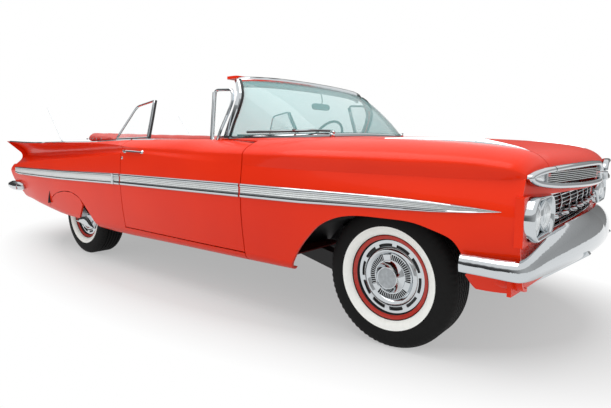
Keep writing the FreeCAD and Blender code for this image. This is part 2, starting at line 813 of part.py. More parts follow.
# Floor, toe board, firewall, rear seat pan and trunk floor
sheet_wall = cell("floor_sheet")
floor_level = rail_high + sheet_wall
floor_top = floor_level + sheet_wall / 2
firewall_y = -cell("firewall")
pan_level = cell("pan_height")
pan_top = pan_level + sheet_wall / 2
trunk_level = cell("trunk_height")
tub = cell("tub_half")
toe_shares = (-.362, .56)
heel_shares = (.24, .28)
trunk_step_shares = (.656, .716)
wall_top = .99 * belt
floor_line = [(firewall_y, wall_top), (firewall_y, toe_shares[1] * belt),
              (toe_shares[0] * reach, floor_level),
              (heel_shares[0] * reach, floor_level), (heel_shares[1] * reach, pan_level),
              (trunk_step_shares[0] * reach, pan_level), (trunk_step_shares[1] * reach, trunk_level),
              (rail_end_y, trunk_level)]
floor = side_bar(floor_line, sheet_wall, -tub, tub)
tunnel_half = cell("tunnel_half")
tunnel_top = cell("tunnel_height")
tunnel_foot = 1.04 * tunnel_half
tunnel_roof = .84 * tunnel_half
tunnel_hole = box((-tunnel_half, firewall_y - overrun, rail_low),
                  (tunnel_half, .256 * reach, tunnel_top - sheet_wall / 2))
tunnel_outline = band([(-tunnel_foot, floor_level), (-tunnel_roof, tunnel_top), (tunnel_roof, tunnel_top),
                       (tunnel_foot, floor_level)], sheet_wall)
tunnel = prism([V(x, firewall_y, z) for x, z in tunnel_outline],
               V(0, heel_shares[1] * reach - firewall_y, 0))
above_floor = [(y + shift * sheet_wall, z - lift * sheet_wall) for (y, z), shift, lift in
               zip(floor_line[:5], (-.4, -.4, -.3, .4, .3), (0, 0, .4, .4, .5))]
above_floor.append((above_floor[-1][0], wall_top))
tunnel = tunnel.common(prism([V(-tub, y, z) for y, z in above_floor], V(2 * tub, 0, 0)))
floor = floor.cut(tunnel_hole).fuse(tunnel)
bulkhead_shares = [(.4, .54), (.424, .9)]
bulkhead = side_bar(profile(bulkhead_shares), sheet_wall, -cell("bulkhead_half"), cell("bulkhead_half"))
house_radius = cell("rear_house_radius")
house_wall = cell("house_wall")
rear_house_in = cell("rear_house_in")
wheel_well = cross_rod(rear_house_in, half + overrun, rear_axle_y, hub_height, house_radius + house_wall)
floor = floor.cut([wheel_well, mirrored(wheel_well)]).fuse(bulkhead)
wall_front_y = quarter_start_y + 3 * skin + gap / 2
wall_rear_y = bulkhead_shares[0][0] * reach
ledge_top = .96 * belt
ledge_out = .9 * half
wall_in = inner_half
wall = box((wall_in, wall_front_y, floor_level + sheet_wall / 10),
           (wall_in + sheet_wall, wall_rear_y, ledge_top))
ledge = box((wall_in, wall_front_y, ledge_top - sheet_wall), (ledge_out, wall_rear_y, ledge_top))
wall = wall.fuse(ledge).cut([wheel_well])
edge_cut = box((wall_in - sheet_wall / 2, door_rear_y - sheet_wall, rail_high - sheet_wall / 2),
               (wall_in + 1.5 * sheet_wall, wall_rear_y + sheet_wall, floor_top))
floor = floor.cut([both(edge_cut)]).fuse([wall, mirrored(wall)])
floor = floor.cut([both(rocker), both(quarter), both(fender_left)])
add("floor_pan", floor)


# Wheelhouses over all four wheels
def wheelhouse(axle_y, radius, x_low, x_high, wall_low, skin_side):
    outer = cross_rod(x_low, x_high, axle_y, hub_height, radius + house_wall)
    inner = cross_rod(x_low + house_wall, x_high, axle_y, hub_height, radius)
    keep_box = box((x_low, axle_y - radius - overrun, wall_low),
                   (x_high, axle_y + radius + overrun, belt + overrun))
    return outer.cut(inner).common(keep_box).cut(skin_side)


front_house = wheelhouse(front_axle_y, cell("front_house_radius"), cell("front_house_in"), .962 * half,
                         .56 * belt,
                         fender_left)
rear_house = wheelhouse(rear_axle_y, house_radius, rear_house_in, .985 * half, .42 * belt, quarter)
front_house = largest(front_house)
rear_house = largest(rear_house.cut([floor, skirt]))
add("wheelhouses", Part.makeCompound([front_house, mirrored(front_house), rear_house, mirrored(rear_house)]))

# Engine with its sump and gearbox, radiator with its carrier, and fuel tank
engine_y = ("-sizes.engine_front", "-sizes.engine_front + sizes.engine_length")
sump_y = ("-sizes.engine_front + sizes.sump_inset",
          "-sizes.engine_front + sizes.engine_length - sizes.sump_inset")
cross_top = "sizes.front_cross_top + sizes.seat_gap"
union("engine_block", [
    block("engine_body", ("-sizes.engine_half", engine_y[0], "sizes.engine_foot"),
          ("sizes.engine_half", engine_y[1], "sizes.engine_foot + sizes.engine_height")),
    block("engine_sump", ("-sizes.sump_half", sump_y[0], cross_top),
          ("sizes.sump_half", sump_y[1], "sizes.engine_foot + sizes.seat_gap")),
    block("gearbox", ("-sizes.gearbox_half", engine_y[1] + " - sizes.seat_gap", "sizes.gearbox_foot"),
          ("sizes.gearbox_half", engine_y[1] + " + sizes.gearbox_length",
           "sizes.gearbox_foot + sizes.gearbox_depth")),
])
carrier_foot = "sizes.frame_clear + sizes.frame_depth + sizes.seat_gap"
radiator_top = "sizes.radiator_foot + sizes.radiator_height"
union("radiator", [
    block("radiator_core", ("-sizes.radiator_half", "-sizes.radiator_front", "sizes.radiator_foot"),
          ("sizes.radiator_half", "-sizes.radiator_front + sizes.radiator_depth", radiator_top)),
    block("radiator_carrier", ("-sizes.carrier_half",
                               "-sizes.radiator_front + sizes.radiator_depth - sizes.carrier_wall",
                               carrier_foot),
          ("sizes.carrier_half", "-sizes.radiator_front + sizes.radiator_depth", radiator_top)),
])
tank_top = "sizes.trunk_height - sizes.floor_sheet / 2 - sizes.seat_gap"
tank = block("fuel_tank", ("-sizes.tank_half", "sizes.tank_front", tank_top + " - sizes.tank_depth"),
             ("sizes.tank_half", "sizes.tank_front + sizes.tank_length", tank_top))
nodes.append(tank)

# Exhaust: a pipe from the gearbox side, a silencer and a tail pipe hung from the frame
pipe = cell("pipe_radius")
pipe_x = cell("engine_half") + seat_gap + pipe
pipe_z = rail_low - pipe - sheet_wall / 3
pipe_shares = {"down": -.56, "silencer": (.12, .34), "tail": .932, "tail_rise": .1, "hanger": .664}
down_y = pipe_shares["down"] * reach
silencer_y = [share * reach for share in pipe_shares["silencer"]]
tail_y = pipe_shares["tail"] * reach
hanger_y = pipe_shares["hanger"] * reach
silencer_half = cell("silencer_half")
exhaust = fused([
    rod((pipe_x, down_y, pipe_z), (pipe_x, down_y, cell("gearbox_foot") + cell("gearbox_depth")), pipe),
    rod((pipe_x, down_y - pipe, pipe_z), (pipe_x, silencer_y[1] + pipe, pipe_z), pipe),
    box((pipe_x - silencer_half, silencer_y[0], pipe_z - silencer_half / 2),
        (pipe_x + silencer_half, silencer_y[1], pipe_z + pipe * .9)),
    rod((pipe_x, silencer_y[1] + pipe / 2, pipe_z), (pipe_x, tail_y,
                                                     pipe_z + pipe_shares["tail_rise"] * belt), pipe),
    box((pipe_x - sheet_wall / 2, hanger_y, pipe_z + 3 * pipe),
        (pipe_x + sheet_wall / 2, hanger_y + 2 * pipe, tail_rail_z - cross_depth / 2 - seat_gap)),
])
add("exhaust", exhaust)

# Rear axle with its differential, drive shaft, brake plates and coil springs
rear_half = cell("rear_track") / 2
front_half = cell("front_track") / 2
spindle_radius = cell("hub_bore")
stub_out = cell("stub_out")
drum = cell("drum_radius")
plate = cell("plate_width")
plate_in = cell("plate_inset")
diff = cell("diff_radius")
tube_radius = 1.27 * spindle_radius
shaft_start_y = -cell("engine_front") + cell("engine_length") + cell("gearbox_length") + gap
axle = [cross_rod(-rear_half + plate_in, rear_half - plate_in, rear_axle_y, hub_height, tube_radius),
        cross_rod(-.9 * diff, .9 * diff, rear_axle_y, hub_height, diff),
        rod((0, rear_axle_y, hub_height), (0, shaft_start_y, cell("gearbox_foot") + spindle_radius),
            tube_radius * .9)]
spring_radius = cell("spring_radius")
for side in (1, -1):
    plate_x = side * (rear_half - plate_in)
    axle.append(cross_rod(*sorted((plate_x, plate_x + side * plate)), rear_axle_y, hub_height, drum))
    axle.append(cross_rod(*sorted((plate_x - side * plate, side * (rear_half + stub_out))), rear_axle_y,
                          hub_height,
                          spindle_radius))
    axle.append(rod((side * kick_mid_x, rear_axle_y, hub_height),
                    (side * kick_mid_x, rear_axle_y, kick_top - rail - seat_gap), spring_radius))
add("rear_axle", fused(axle))

# Front suspension: lower and upper arms, coil spring, its tower on the rail and the cross member
kingpin = cell("kingpin_half")
kingpin_radius = cell("kingpin_radius")
arm_low = cell("lower_arm_height")
arm_high = cell("upper_arm_height")
arm_wall = cell("arm_wall")
arm_half = .64 * kingpin_radius
cross_half = rail_mid_x - rail / 2 - seat_gap
arm_root_x = rail_mid_x + rail / 2 + seat_gap


def arm(low, root_x, root_half):
    outline = [(kingpin + gap, -arm_half), (kingpin + gap, arm_half), (root_x, root_half),
               (root_x, -root_half)]
    return prism([V(x, front_axle_y + y, low) for x, y in outline], V(0, 0, arm_wall))


ball_radius = .73 * kingpin_radius
spring_x = (kingpin + arm_root_x) / 2
tower_half = .75 * rail
suspension = fused([
    arm(arm_low, arm_root_x, 1.9 * rail),
    arm(arm_high, arm_root_x + arm_wall, tower_half),
    rod((kingpin, front_axle_y, arm_low), (kingpin, front_axle_y, arm_low + arm_wall), ball_radius),
    rod((kingpin, front_axle_y, arm_high), (kingpin, front_axle_y, arm_high + arm_wall), ball_radius),
    rod((spring_x, front_axle_y, arm_low + arm_wall / 2), (spring_x, front_axle_y, arm_high + arm_wall / 2),
        spring_radius),
    box((rail_mid_x - rail * .4, front_axle_y - tower_half, rail_high + seat_gap),
        (arm_root_x + 1.5 * arm_wall, front_axle_y + tower_half, arm_high + arm_wall)),
])
cross_front = box((-cross_half, front_axle_y - cross_depth, cell("front_cross_top") - rail),
                  (cross_half, front_axle_y + cross_depth, cell("front_cross_top")))
add("front_suspension", Part.makeCompound([suspension, mirrored(suspension), cross_front]))

knuckle_plate = kingpin + cell("knuckle_reach")
knuckle = fused([
    rod((kingpin, front_axle_y, arm_low + arm_wall + seat_gap),
        (kingpin, front_axle_y, arm_high - seat_gap), kingpin_radius),
    cross_rod(knuckle_plate, knuckle_plate + plate, front_axle_y, hub_height, drum),
    cross_rod(kingpin, front_half + stub_out, front_axle_y, hub_height, spindle_radius),
])
knuckle_left = add("knuckle_left", knuckle)
twin("knuckle_right", knuckle_left)


def turned(label, outline, track_word, axle_y, side):
    # A round piece, its outline given as distances outward from the wheel's middle and radii.
    body = doc.addObject("PartDesign::Body", label)
    body.Label = label
    sketch = body.newObject("Sketcher::SketchObject", label + "_outline")
    plane = next(item for item in body.Origin.OriginFeatures if item.Role == "XY_Plane")
    sketch.AttachmentSupport = [(plane, "")]
    sketch.MapMode = "FlatFace"
    corners = [V(a, r, 0) for a, r in outline]
    for one, two in zip(corners, corners[1:] + corners[:1]):
        sketch.addGeometry(Part.LineSegment(one, two), False)
    turn = body.newObject("PartDesign::Revolution", label + "_turn")
    turn.Profile = sketch
    turn.ReferenceAxis = (sketch, ["H_Axis"])
    turn.Angle = 360
    body.setExpression("Placement.Base.x", "%d * sizes.%s / 2" % (side, track_word))
    body.Placement = FreeCAD.Placement(V(side * cell(track_word) / 2, axle_y, hub_height),
                                       FreeCAD.Rotation(V(0, 0, 1), 0 if side > 0 else 180))
    nodes.append(body)


# Tyre outline, then the pressed wheel with its cover and brake drum, as distances outward and radii
tyre_half = cell("tyre_width") / 2
bead = cell("bead_radius")
rim_half = cell("rim_width") / 2
rim_wall = cell("rim_wall")
sidewall_shares = [(1, .731), (.868, .942), (.585, 1)]
half_tyre = [(rim_half - 1.5 * rim_wall, bead)] + [(w * tyre_half, r * tyre_radius) for w,
                                                   r in sidewall_shares]
tyre_outline = half_tyre + [(-w, r) for w, r in half_tyre[::-1]]
cover_shares = [(.925, 0), (.906, .283), (.698, .326), (.66, .5), (.585, .543), (.623, .761), (.717, .815),
                (.792, .924), (.755, 1.01)]
disc_shares = [(.66, .957), (.623, .87), (.528, .772), (-.434, .772), (-.434, .663), (.5, .663), (.49, .543),
               (.566, .467), (.585, .272), (-.189, .272)]
bead_seat = bead - run_gap / 2
bore = cell("hub_bore") + cell("fit_gap")
cap_in = disc_shares[0][0] * tyre_half
rim_outline = [(w * tyre_half, r * bead) for w, r in cover_shares]
rim_outline += [(rim_half + run_gap, bead + rim_wall), (rim_half - 4 * run_gap, bead + rim_wall),
                (rim_half - 4 * run_gap, bead_seat), (4 * run_gap - rim_half, bead_seat),
                (4 * run_gap - rim_half, bead + rim_wall), (-run_gap - rim_half, bead + rim_wall),
                (-run_gap - rim_half, bead_seat - 1.25 * rim_wall)]
rim_outline += [(w * tyre_half, r * bead) for w, r in disc_shares]
rim_outline += [(disc_shares[-1][0] * tyre_half, bore), (cap_in, bore), (cap_in, 0)]
for corner, track_word, axle_y, side in (("front_right", "front_track", front_axle_y, -1),
                                         ("front_left", "front_track", front_axle_y, 1),
                                         ("rear_right", "rear_track", rear_axle_y, -1),
                                         ("rear_left", "rear_track", rear_axle_y, 1)):
    turned("tyre_" + corner, tyre_outline, track_word, axle_y, side)
    turned("rim_" + corner, rim_outline, track_word, axle_y, side)

# Windshield glass, its tube frame with feet on the cowl, and the mirror that hangs from the header
glass_wall = cell("glass_wall")
frame_tube = cell("frame_tube")
base_shares = [(0, -.4848, 1.043), (.25, -.48, 1.041), (.45, -.46, 1.036), (.62, -.42, 1.028),
               (.735, -.34, 1.02),
               (.79, -.24, 1.018)]
low_shares = [(0, -.452, 1.15), (.25, -.4472, 1.15), (.445, -.43, 1.145), (.62, -.39, 1.14),
              (.738, -.326, 1.135),
              (.792, -.276, 1.14)]
high_shares = [(0, -.344, 1.35), (.25, -.34, 1.35), (.44, -.3328, 1.345), (.595, -.318, 1.335),
               (.715, -.298, 1.32),
               (.772, -.286, 1.292)]
head_shares = [(0, -.2848, 1.392), (.25, -.2816, 1.391), (.43, -.276, 1.388), (.56, -.2672, 1.384),
               (.66, -.2552, 1.378), (.712, -.2424, 1.368)]
post_shares = [(.79, -.234, 1.012), (.786, -.25, 1.11), (.778, -.264, 1.19), (.76, -.2688, 1.27),
               (.738, -.256, 1.345),
               (.712, -.2392, 1.382)]
header_shares = [(.712, -.2392, 1.382), (.65, -.252, 1.391), (.54, -.2672, 1.397), (.4, -.276, 1.401),
                 (.2, -.2808, 1.404), (0, -.2824, 1.405)]
right_rows = [list(row) for row in zip(spots(base_shares), spots(low_shares), spots(high_shares),
                                       spots(head_shares))]
glass_rows = [[V(-p.x, p.y, p.z) for p in row] for row in right_rows[:0:-1]] + right_rows
glass = slab(glass_rows, inward(glass_rows, -glass_wall), [float(k) for k in range(len(glass_rows))])


def tube_along(points, radius):
    # Straight runs joined by round corners.
    parts = [rod(tuple(a), tuple(b), radius) for a, b in zip(points, points[1:])]
    parts += [Part.makeSphere(radius, p) for p in points[1:-1]]
    return fused(parts)


def windshield_loop(grow):
    # The frame's tubes, swollen by a clearance where they cut their neighbours.
    base_line = [p - V(0, 0, .9 * base_tube) for p in spots(base_shares)]
    posts = spots(post_shares)
    half_loop = fused([tube_along(posts, frame_tube + grow), Part.makeSphere(frame_tube + grow, posts[-1]),
                       tube_along(spots(header_shares), frame_tube + grow),
                       tube_along(base_line, base_tube + grow)])
    return fused([half_loop, mirrored(half_loop)])


base_tube = cell("base_tube")
foot_y = post_shares[0][1] * reach
foot = box((.765 * half, foot_y - 3.4 * frame_tube, 1.009 * belt),
           (.83 * half, foot_y + 2.3 * frame_tube, 1.016 * belt))
frame_loop = largest(fused([windshield_loop(0), foot, mirrored(foot)]).cut([cowl]))
glass = largest(glass.cut([windshield_loop(cell("glaze_gap"))]))
add("windshield_glass", glass)
add("windshield_frame", frame_loop)
mirror_half = cell("mirror_half")
mirror_shares = (0, -.2884, 1.253)
mirror_at = spots([mirror_shares])[0]
mirror_wall = cell("mirror_wall")
stem_top = spots(header_shares)[-1]
stem = rod(tuple(mirror_at), tuple(stem_top), mirror_wall / 3)
glass_side = box((-mirror_half, mirror_at.y - mirror_wall / 2, mirror_at.z - mirror_half / 4),
                 (mirror_half, mirror_at.y + mirror_wall / 2, mirror_at.z + mirror_half / 4))
mirror = fused([stem, glass_side]).cut([windshield_loop(seat_gap)])
add("rear_mirror", largest(mirror))

# Wipers: a pivot on the cowl, an arm and a blade on each side, parked outward along the glass
pivot_share = (.45, -.4636, 1.037)
wiper_joint_share = (.6, -.432, 1.052)
wiper_blade_shares = [(.47, -.459, 1.052), (.62, -.426, 1.046), (.735, -.348, 1.04), (.775, -.29, 1.038)]
wiper_rod = cell("wiper_rod")
wiper_lift = V(cell("wiper_lift") / 2, -cell("wiper_lift"), cell("wiper_lift"))
pivot, wiper_joint = [p + wiper_lift for p in spots([pivot_share, wiper_joint_share])]
wiper_blade = [p + wiper_lift for p in spots(wiper_blade_shares)]
wiper = fused([rod(tuple(pivot - V(0, 0, 3 * cell("wiper_lift"))), tuple(pivot), 2 * wiper_rod),
               rod(tuple(pivot), tuple(wiper_joint), wiper_rod), tube_along(wiper_blade, wiper_rod)])
wiper = largest(wiper.cut([cowl, glass, windshield_loop(seat_gap)]))
add("wipers", both(wiper))


# Vent windows on the doors and raised rear quarter windows
def leaning_pane(outline_shares, lean_shares, thickness):
    # A flat pane that leans inward from its low edge to its high edge.
    (low_x, low_z), (high_x, high_z) = lean_shares
    outline = [V((low_x + (high_x - low_x) * (z - low_z) / (high_z - low_z)) * half, y * reach, z * belt)
               for y, z in outline_shares]
    return Part.Face(Part.makePolygon(outline + outline[:1])).extrude(V(-thickness, 0, 0))


vent_shares = [(-.2192, .975), (-.2, .975), (-.1784, 1.318), (-.188, 1.33), (-.244, 1.322), (-.252, 1.29),
               (-.256, 1.24), (-.246, 1.16), (-.2288, 1.06)]
vent_lean_shares = ((.856, 1.005), (.786, 1.32))
vent = largest(leaning_pane(vent_shares, vent_lean_shares, cell("vent_wall")).cut([door]))
twin("vent_window_right", add("vent_window_left", vent))
pane_foot_share = (ledge_top + seat_gap) / belt
pane_shares = [(.1608, pane_foot_share), (.1608, 1.012), (.076, 1.012), (.1048, 1.29), (.1128, 1.296),
               (.192, 1.262),
               (.2048, 1.238), (.262, 1), (.2672, pane_foot_share)]
pane_lean_shares = ((.866, 1), (.76, 1.29))
pane = largest(leaning_pane(pane_shares, pane_lean_shares, cell("pane_wall")).cut([quarter]))
add("quarter_windows", both(pane))

# Nose panel between the fenders, with the lamps and the grille
nose_half = cell("nose_half")
face_bow = cell("face_bow")
panel_wall = cell("panel_wall")


def face_y(x):
    return -cell("face_plane") - face_bow * (1 - (x / nose_half) ** 2)


def bowed_panel(x_half, z_low, z_high, front, thickness):
    # A wall that stands on a bowed line seen from above.
    xs = [x_half * k for k in (-1, -2 / 3, -1 / 3, 0, 1 / 3, 2 / 3, 1)]
    outer = [V(x, front(x), z_low) for x in xs]
    inner = [V(x, front(x) + thickness, z_low) for x in xs[::-1]]
    one = Part.BSplineCurve()
    one.interpolate(outer)
    two = Part.BSplineCurve()
    two.interpolate(inner)
    wire = Part.Wire([one.toShape(), Part.makeLine(outer[-1], inner[0]), two.toShape(),
                      Part.makeLine(inner[-1], outer[0])])
    return Part.Face(wire).extrude(V(0, 0, z_high - z_low))


lamp_radius = cell("lamp_radius")
lamp_z = cell("lamp_height")
lamp_pitch = cell("lamp_pitch")
lamp_mid_x = cell("lamp_mid")
lamp_xs = (lamp_mid_x - lamp_pitch / 2, lamp_mid_x + lamp_pitch / 2)
lamp_wall_y = -cell("face_plane") - skin + 2 * run_gap
lamp_tall = 2 * cell("bezel_half")
lamp_wide = lamp_pitch + 2.1 * cell("bezel_half")
grille_low = .606 * belt
grille_high = .786 * belt
grille_half = lamp_mid_x - lamp_wide / 2 - 4.4 * gap
nose_band = bowed_panel(.925 * half, grille_high, .853 * belt, lambda x: lip(x) + skin, 2 * panel_wall)
lower_panel = bowed_panel(.96 * half, .54 * belt, grille_low, lambda x: face_y(x) + face_bow / 4,
                          1.5 * panel_wall)
apron = bowed_panel(.95 * half, .395 * belt, .545 * belt, lambda x: face_y(x) + .75 * face_bow, panel_wall)
lamp_wall = box((grille_half - run_gap, lamp_wall_y, .6 * belt),
                (.99 * half, lamp_wall_y + 2 * panel_wall, .79 * belt))
panel = fused([nose_band, lower_panel, apron, lamp_wall, mirrored(lamp_wall)])
bracket_wall = cell("bracket_wall")
front_bracket_shares = [(-.88, (rail_high + bracket_wall / 2 + seat_gap) / belt), (-.932, .32), (-1.026, .5)]
rear_bracket_shares = [(rail_end_y / reach + seat_gap / reach, .38), (.96, .4), (1.024, .512)]
bracket_front = side_bar(profile(front_bracket_shares), bracket_wall, rail_mid_x - rail / 4,
                         rail_mid_x + rail / 4)
bracket_rear = side_bar(profile(rear_bracket_shares), bracket_wall, kick_mid_x - rail / 4,
                        kick_mid_x + rail / 4)


def lamp_rods(low_y, high_y, radius):
    return [rod((x, low_y, lamp_z), (x, high_y, lamp_z), radius) for x in lamp_xs]


lamp_holes = both(Part.makeCompound(lamp_rods(lamp_wall_y - overrun, lamp_wall_y + overrun / 2,
                                              lamp_radius)))
panel = largest(panel.cut(intake + lamp_holes.Solids + [both(fender_left), both(bracket_front)]))
add("front_panel", panel)
lamp = lamp_rods(lamp_wall_y - .6 * skin, lamp_wall_y + 2 * panel_wall, lamp_radius - seat_gap)
add("headlamps", both(Part.makeCompound(lamp)))


def oval(x_mid, z_mid, wide, tall, y, depth):
    straight = (wide - tall) / 2
    middle = box((x_mid - straight, y, z_mid - tall / 2), (x_mid + straight, y + depth, z_mid + tall / 2))
    ends = [rod((x_mid + s * straight, y, z_mid), (x_mid + s * straight, y + depth, z_mid),
                tall / 2) for s in (1, -1)]
    return fused([middle] + ends)


bezel_depth = cell("bezel_depth")
bezel = oval(lamp_mid_x, lamp_z, lamp_wide, lamp_tall, lamp_wall_y - bezel_depth - seat_gap, bezel_depth)
bezel = bezel.cut(lamp_rods(lamp_wall_y - overrun, lamp_wall_y + overrun, lamp_radius + cell("clear_gap")))
add("headlamp_bezels", both(largest(bezel.cut([fender_left, panel]))))

# Grille: bowed bars crossed by upright fins, with a row of bullets
bar = cell("grille_bar")
bar_depth = 1.6 * bar
bar_count = 4
fin_count = 9
bullet_count = 8
bar_step = (grille_high - grille_low) / (bar_count + .75)


def grille_bar(low, high, setback, depth):
    return bowed_panel(grille_half, low, high, lambda x: face_y(x) + setback, depth)


bars = [grille_bar(grille_low + (k + .65) * bar_step, grille_low + (k + .65) * bar_step + bar,
                   .75 * face_bow, bar_depth)
        for k in range(bar_count)]
bars.append(grille_bar(grille_low + run_gap, grille_low + bar * .8, face_bow / 2, 2 * bar_depth))
bars.append(grille_bar(grille_high - bar * .8, grille_high - run_gap, face_bow / 2, 2 * bar_depth))
fin_step = 1.86 * grille_half / (fin_count - 1)
for k in range(fin_count):
    fin_x = (k - (fin_count - 1) / 2) * fin_step
    bars.append(box((fin_x - bar / 3, face_y(fin_x) + .6 * face_bow, grille_low + bar / 2),
                    (fin_x + bar / 3, face_y(fin_x) + .6 * face_bow + 2 * bar_depth, grille_high - bar / 2)))
bullet_step = 1.63 * grille_half / (bullet_count - 1)
bullet_z = grille_low + (1 + .65) * bar_step + bar / 2
for k in range(bullet_count):
    bullet_x = (k - (bullet_count - 1) / 2) * bullet_step
    bars.append(rod((bullet_x, face_y(bullet_x) - bar / 2, bullet_z),
                    (bullet_x, face_y(bullet_x) + face_bow, bullet_z), 1.6 * bar))
add("grille", fused(bars).cut([panel]))

# Bumpers: a bent blade, wider in the middle, on two brackets from the frame. Each row of shares holds
# the nose's place, then the blade's rise above it, its drop below it and its depth.
blade_wall = cell("blade_wall")
blade_shares = [(-.5, -1), (-.15, -.95), (0, -.6), (0, 0), (0, .35), (-.3, .75), (-1, 1)]
front_blade_shares = [(0, -1.0357, .531, .114, .064, .076), (.3, -1.03, .531, .112, .064, .075),
                      (.6, -1.013, .525, .098, .06, .066), (.8, -.998, .516, .07, .05, .045),
                      (.92, -.99, .51, .052, .04, .036), (1, -.976, .506, .044, .036, .028),
                      (1.013, -.944, .505, .041, .034, .026), (1.014, -.88, .508, .038, .034, .024)]
rear_blade_shares = [(0, 1.03, .528, .034, .034, .04), (.35, 1.0276, .528, .034, .034, .04),
                     (.65, 1.02, .528, .034, .034, .04), (.85, 1.01, .528, .034, .034, .036),
                     (.96, .994, .528, .033, .033, .03), (1.004, .966, .529, .032, .032, .024),
                     (1.01, .935, .53, .03, .032, .022), (1.01, .912, .53, .03, .032, .02)]


def bumper(row_shares, way):
    # The blade's outline carried along the plan line, each row square to it, both halves joined.
    noses = spots([row[:3] for row in row_shares])
    rows = []
    for i, (nose, (rise, drop, depth)) in enumerate(zip(noses, [row[3:] for row in row_shares])):
        along = noses[min(i + 1, len(noses) - 1)] - noses[max(i - 1, 0)]
        along = V(1, 0, 0) if i == 0 else V(along.x, along.y, 0).normalize()
        out = V(-way * along.y, way * along.x, 0)
        rows.append([nose + out * (u * depth * half) + V(0, 0, w * (rise if w > 0 else drop) * belt)
                     for u, w in blade_shares])
    half_blade = slab(rows, inward(rows, -way * blade_wall), [float(k) for k in range(len(rows))])
    return fused([half_blade, mirrored(half_blade)])


front_blade = bumper(front_blade_shares, -1)
rear_blade = bumper(rear_blade_shares, 1)
bracket_front = largest(bracket_front.cut([chassis, front_blade]))
bracket_rear = largest(bracket_rear.cut([chassis, floor, rear_blade]))
add("front_bumper", fused([front_blade, bracket_front, mirrored(bracket_front)]))
add("rear_bumper", fused([rear_blade, bracket_rear, mirrored(bracket_rear)]))

# Tail panel between the quarters, with the lamps under the fins
tail_inset = 1.2 * skin
tail_outer = quarter_rows[-1]
tail_inner = quarter_inner[-1]
tail_base = [p + V(-1.3 * tail_inset, 0, .7 * tail_inset) for p in tail_outer[:seam_column]]
tail_base += [p - V(tail_inset, 0, 0) for p in tail_outer[seam_column:valley_column]]
tail_base += [tail_inner[j] - V(run_gap, 0, 0) for j in range(valley_column, split_column + 1, 2)]
tail_drop_shares = (0,) * valley_column + (0, .33, .66, 1)
tail_drop = .106 * belt
tail_crown = .00615 * reach
tail_rows = []
for span in (-1, -.7, -.4, -.15, .15, .4, .7, 1):
    bow = 1 - span ** 2
    tail_rows.append([V(p.x * span, p.y + tail_crown * bow, p.z - tail_drop * share * bow)
                      for p, share in zip(tail_base, tail_drop_shares)])
tail_params = [float(k) for k in range(len(tail_rows))]
tail_wall = slab(tail_rows, [[p - V(0, skin, 0) for p in row] for row in tail_rows], tail_params)
tail_wall = tail_wall.cut([both(bracket_rear)])
add("tail_panel", tail_wall)
taillamp_shares = [(.3, .79), (.29, .835), (.33, .866), (.42, .876), (.6, .886), (.77, .905), (.7, .862),
                   (.56, .82),
                   (.42, .786), (.35, .776)]
lamp_back = .988 * reach
taillamp = prism([V(x, lamp_back, z) for x, z in face(taillamp_shares)], V(0, .034 * reach, 0))
add("taillamps", both(largest(taillamp.cut([tail_wall, quarter, lid]))))

# Intake bezels, lower halves on the nose and upper halves on the hood
bezel_outer_shares = [(.095, .802), (.066, .845), (.09, .893), (.165, .911), (.5, .908), (.77, .896),
                      (.93, .86),
                      (.87, .828), (.7, .811), (.4, .801)]
bezel_inner_shares = [(.122, .82), (.104, .846), (.122, .88), (.175, .893), (.5, .889), (.75, .877),
                      (.885, .858),
                      (.85, .842), (.69, .829), (.4, .819)]
bezel_lift = .86 * skin
lip_reach = cell("lip_reach")


def ring(side):
    outer = prism([V(side * x, -lip_reach - overrun, z) for x, z in face(bezel_outer_shares)],
                  V(0, 2 * overrun, 0))
    inner = prism([V(side * x, -lip_reach - 2 * overrun, z) for x, z in face(bezel_inner_shares)],
                  V(0, 4 * overrun, 0))
    return outer.cut(inner)


bezel_front = bowed_panel(nose_half, .795 * belt, .915 * belt, lambda x: lip(x) - bezel_lift, 2.43 * skin)
rings = [ring(side).common(bezel_front) for side in (1, -1)]
all_lower = box((-half, -lip_reach - overrun, .78 * belt), (half, 0, lip_z - 1.15 * gap))
all_upper = box((gap / 2 - hood_split, -lip_reach - overrun, lip_z), (hood_split - gap / 2, 0, .93 * belt))
lower_rings = [largest(piece.common(all_lower).cut([panel])) for piece in rings]
upper_rings = [largest(piece.common(all_upper).cut([hood, fender_left,
                                                    mirrored(fender_left)])) for piece in rings]
add("intake_bezels", Part.makeCompound(lower_rings))
add("hood_bezels", Part.makeCompound(upper_rings))

# Dashboard, steering column and steering wheel
dash_half = .745 * half
dash_wall = cell("dash_wall")
dash_front = firewall_y + sheet_wall / 2 + seat_gap
dash_shares = [(dash_front / reach, .985), (-.32, .985), (-.294, .968), (-.29, .93), (-.308, .88),
               (-.316, .74),
               (-.34, .72), (dash_front / reach, .72)]
hollow_shares = [(dash_front / reach - .01, .973), (-.324, .973), (-.302, .958), (-.3, .935), (-.318, .885),
                 (-.3248, .745), (-.34, .732), (dash_front / reach - .01, .732)]
dash = side_prism(dash_shares, -dash_half, dash_half)
dash = dash.cut(side_prism(hollow_shares, dash_wall - dash_half, dash_half - dash_wall))
tilt = math.radians(cell("column_tilt"))
column_axis = V(0, math.cos(tilt), math.sin(tilt))
wheel_centre = V(cell("wheel_side"), -cell("wheel_back"), cell("wheel_height"))
column_radius = cell("column_radius")
column_start = wheel_centre - column_axis * cell("column_length")
hub_depth = .88 * column_radius
column_turn = FreeCAD.Rotation(V(0, 0, 1), column_axis)
column_run = "sizes.column_length * %s(sizes.column_tilt * 1 deg)"
column_place = ("sizes.wheel_side", "-sizes.wheel_back - " + column_run % "cos",
                "sizes.wheel_height - " + column_run % "sin")
column = spindle("column_tube", column_place, column_turn, "sizes.column_radius",
                 "sizes.column_length - .88 * sizes.column_radius - sizes.seat_gap")
doc.recompute()
dash = largest(dash.cut([rod(tuple(column_start), tuple(wheel_centre), column_radius + seat_gap)]))
add("dashboard", dash)
add("steering_column", column.Shape.cut([floor]))
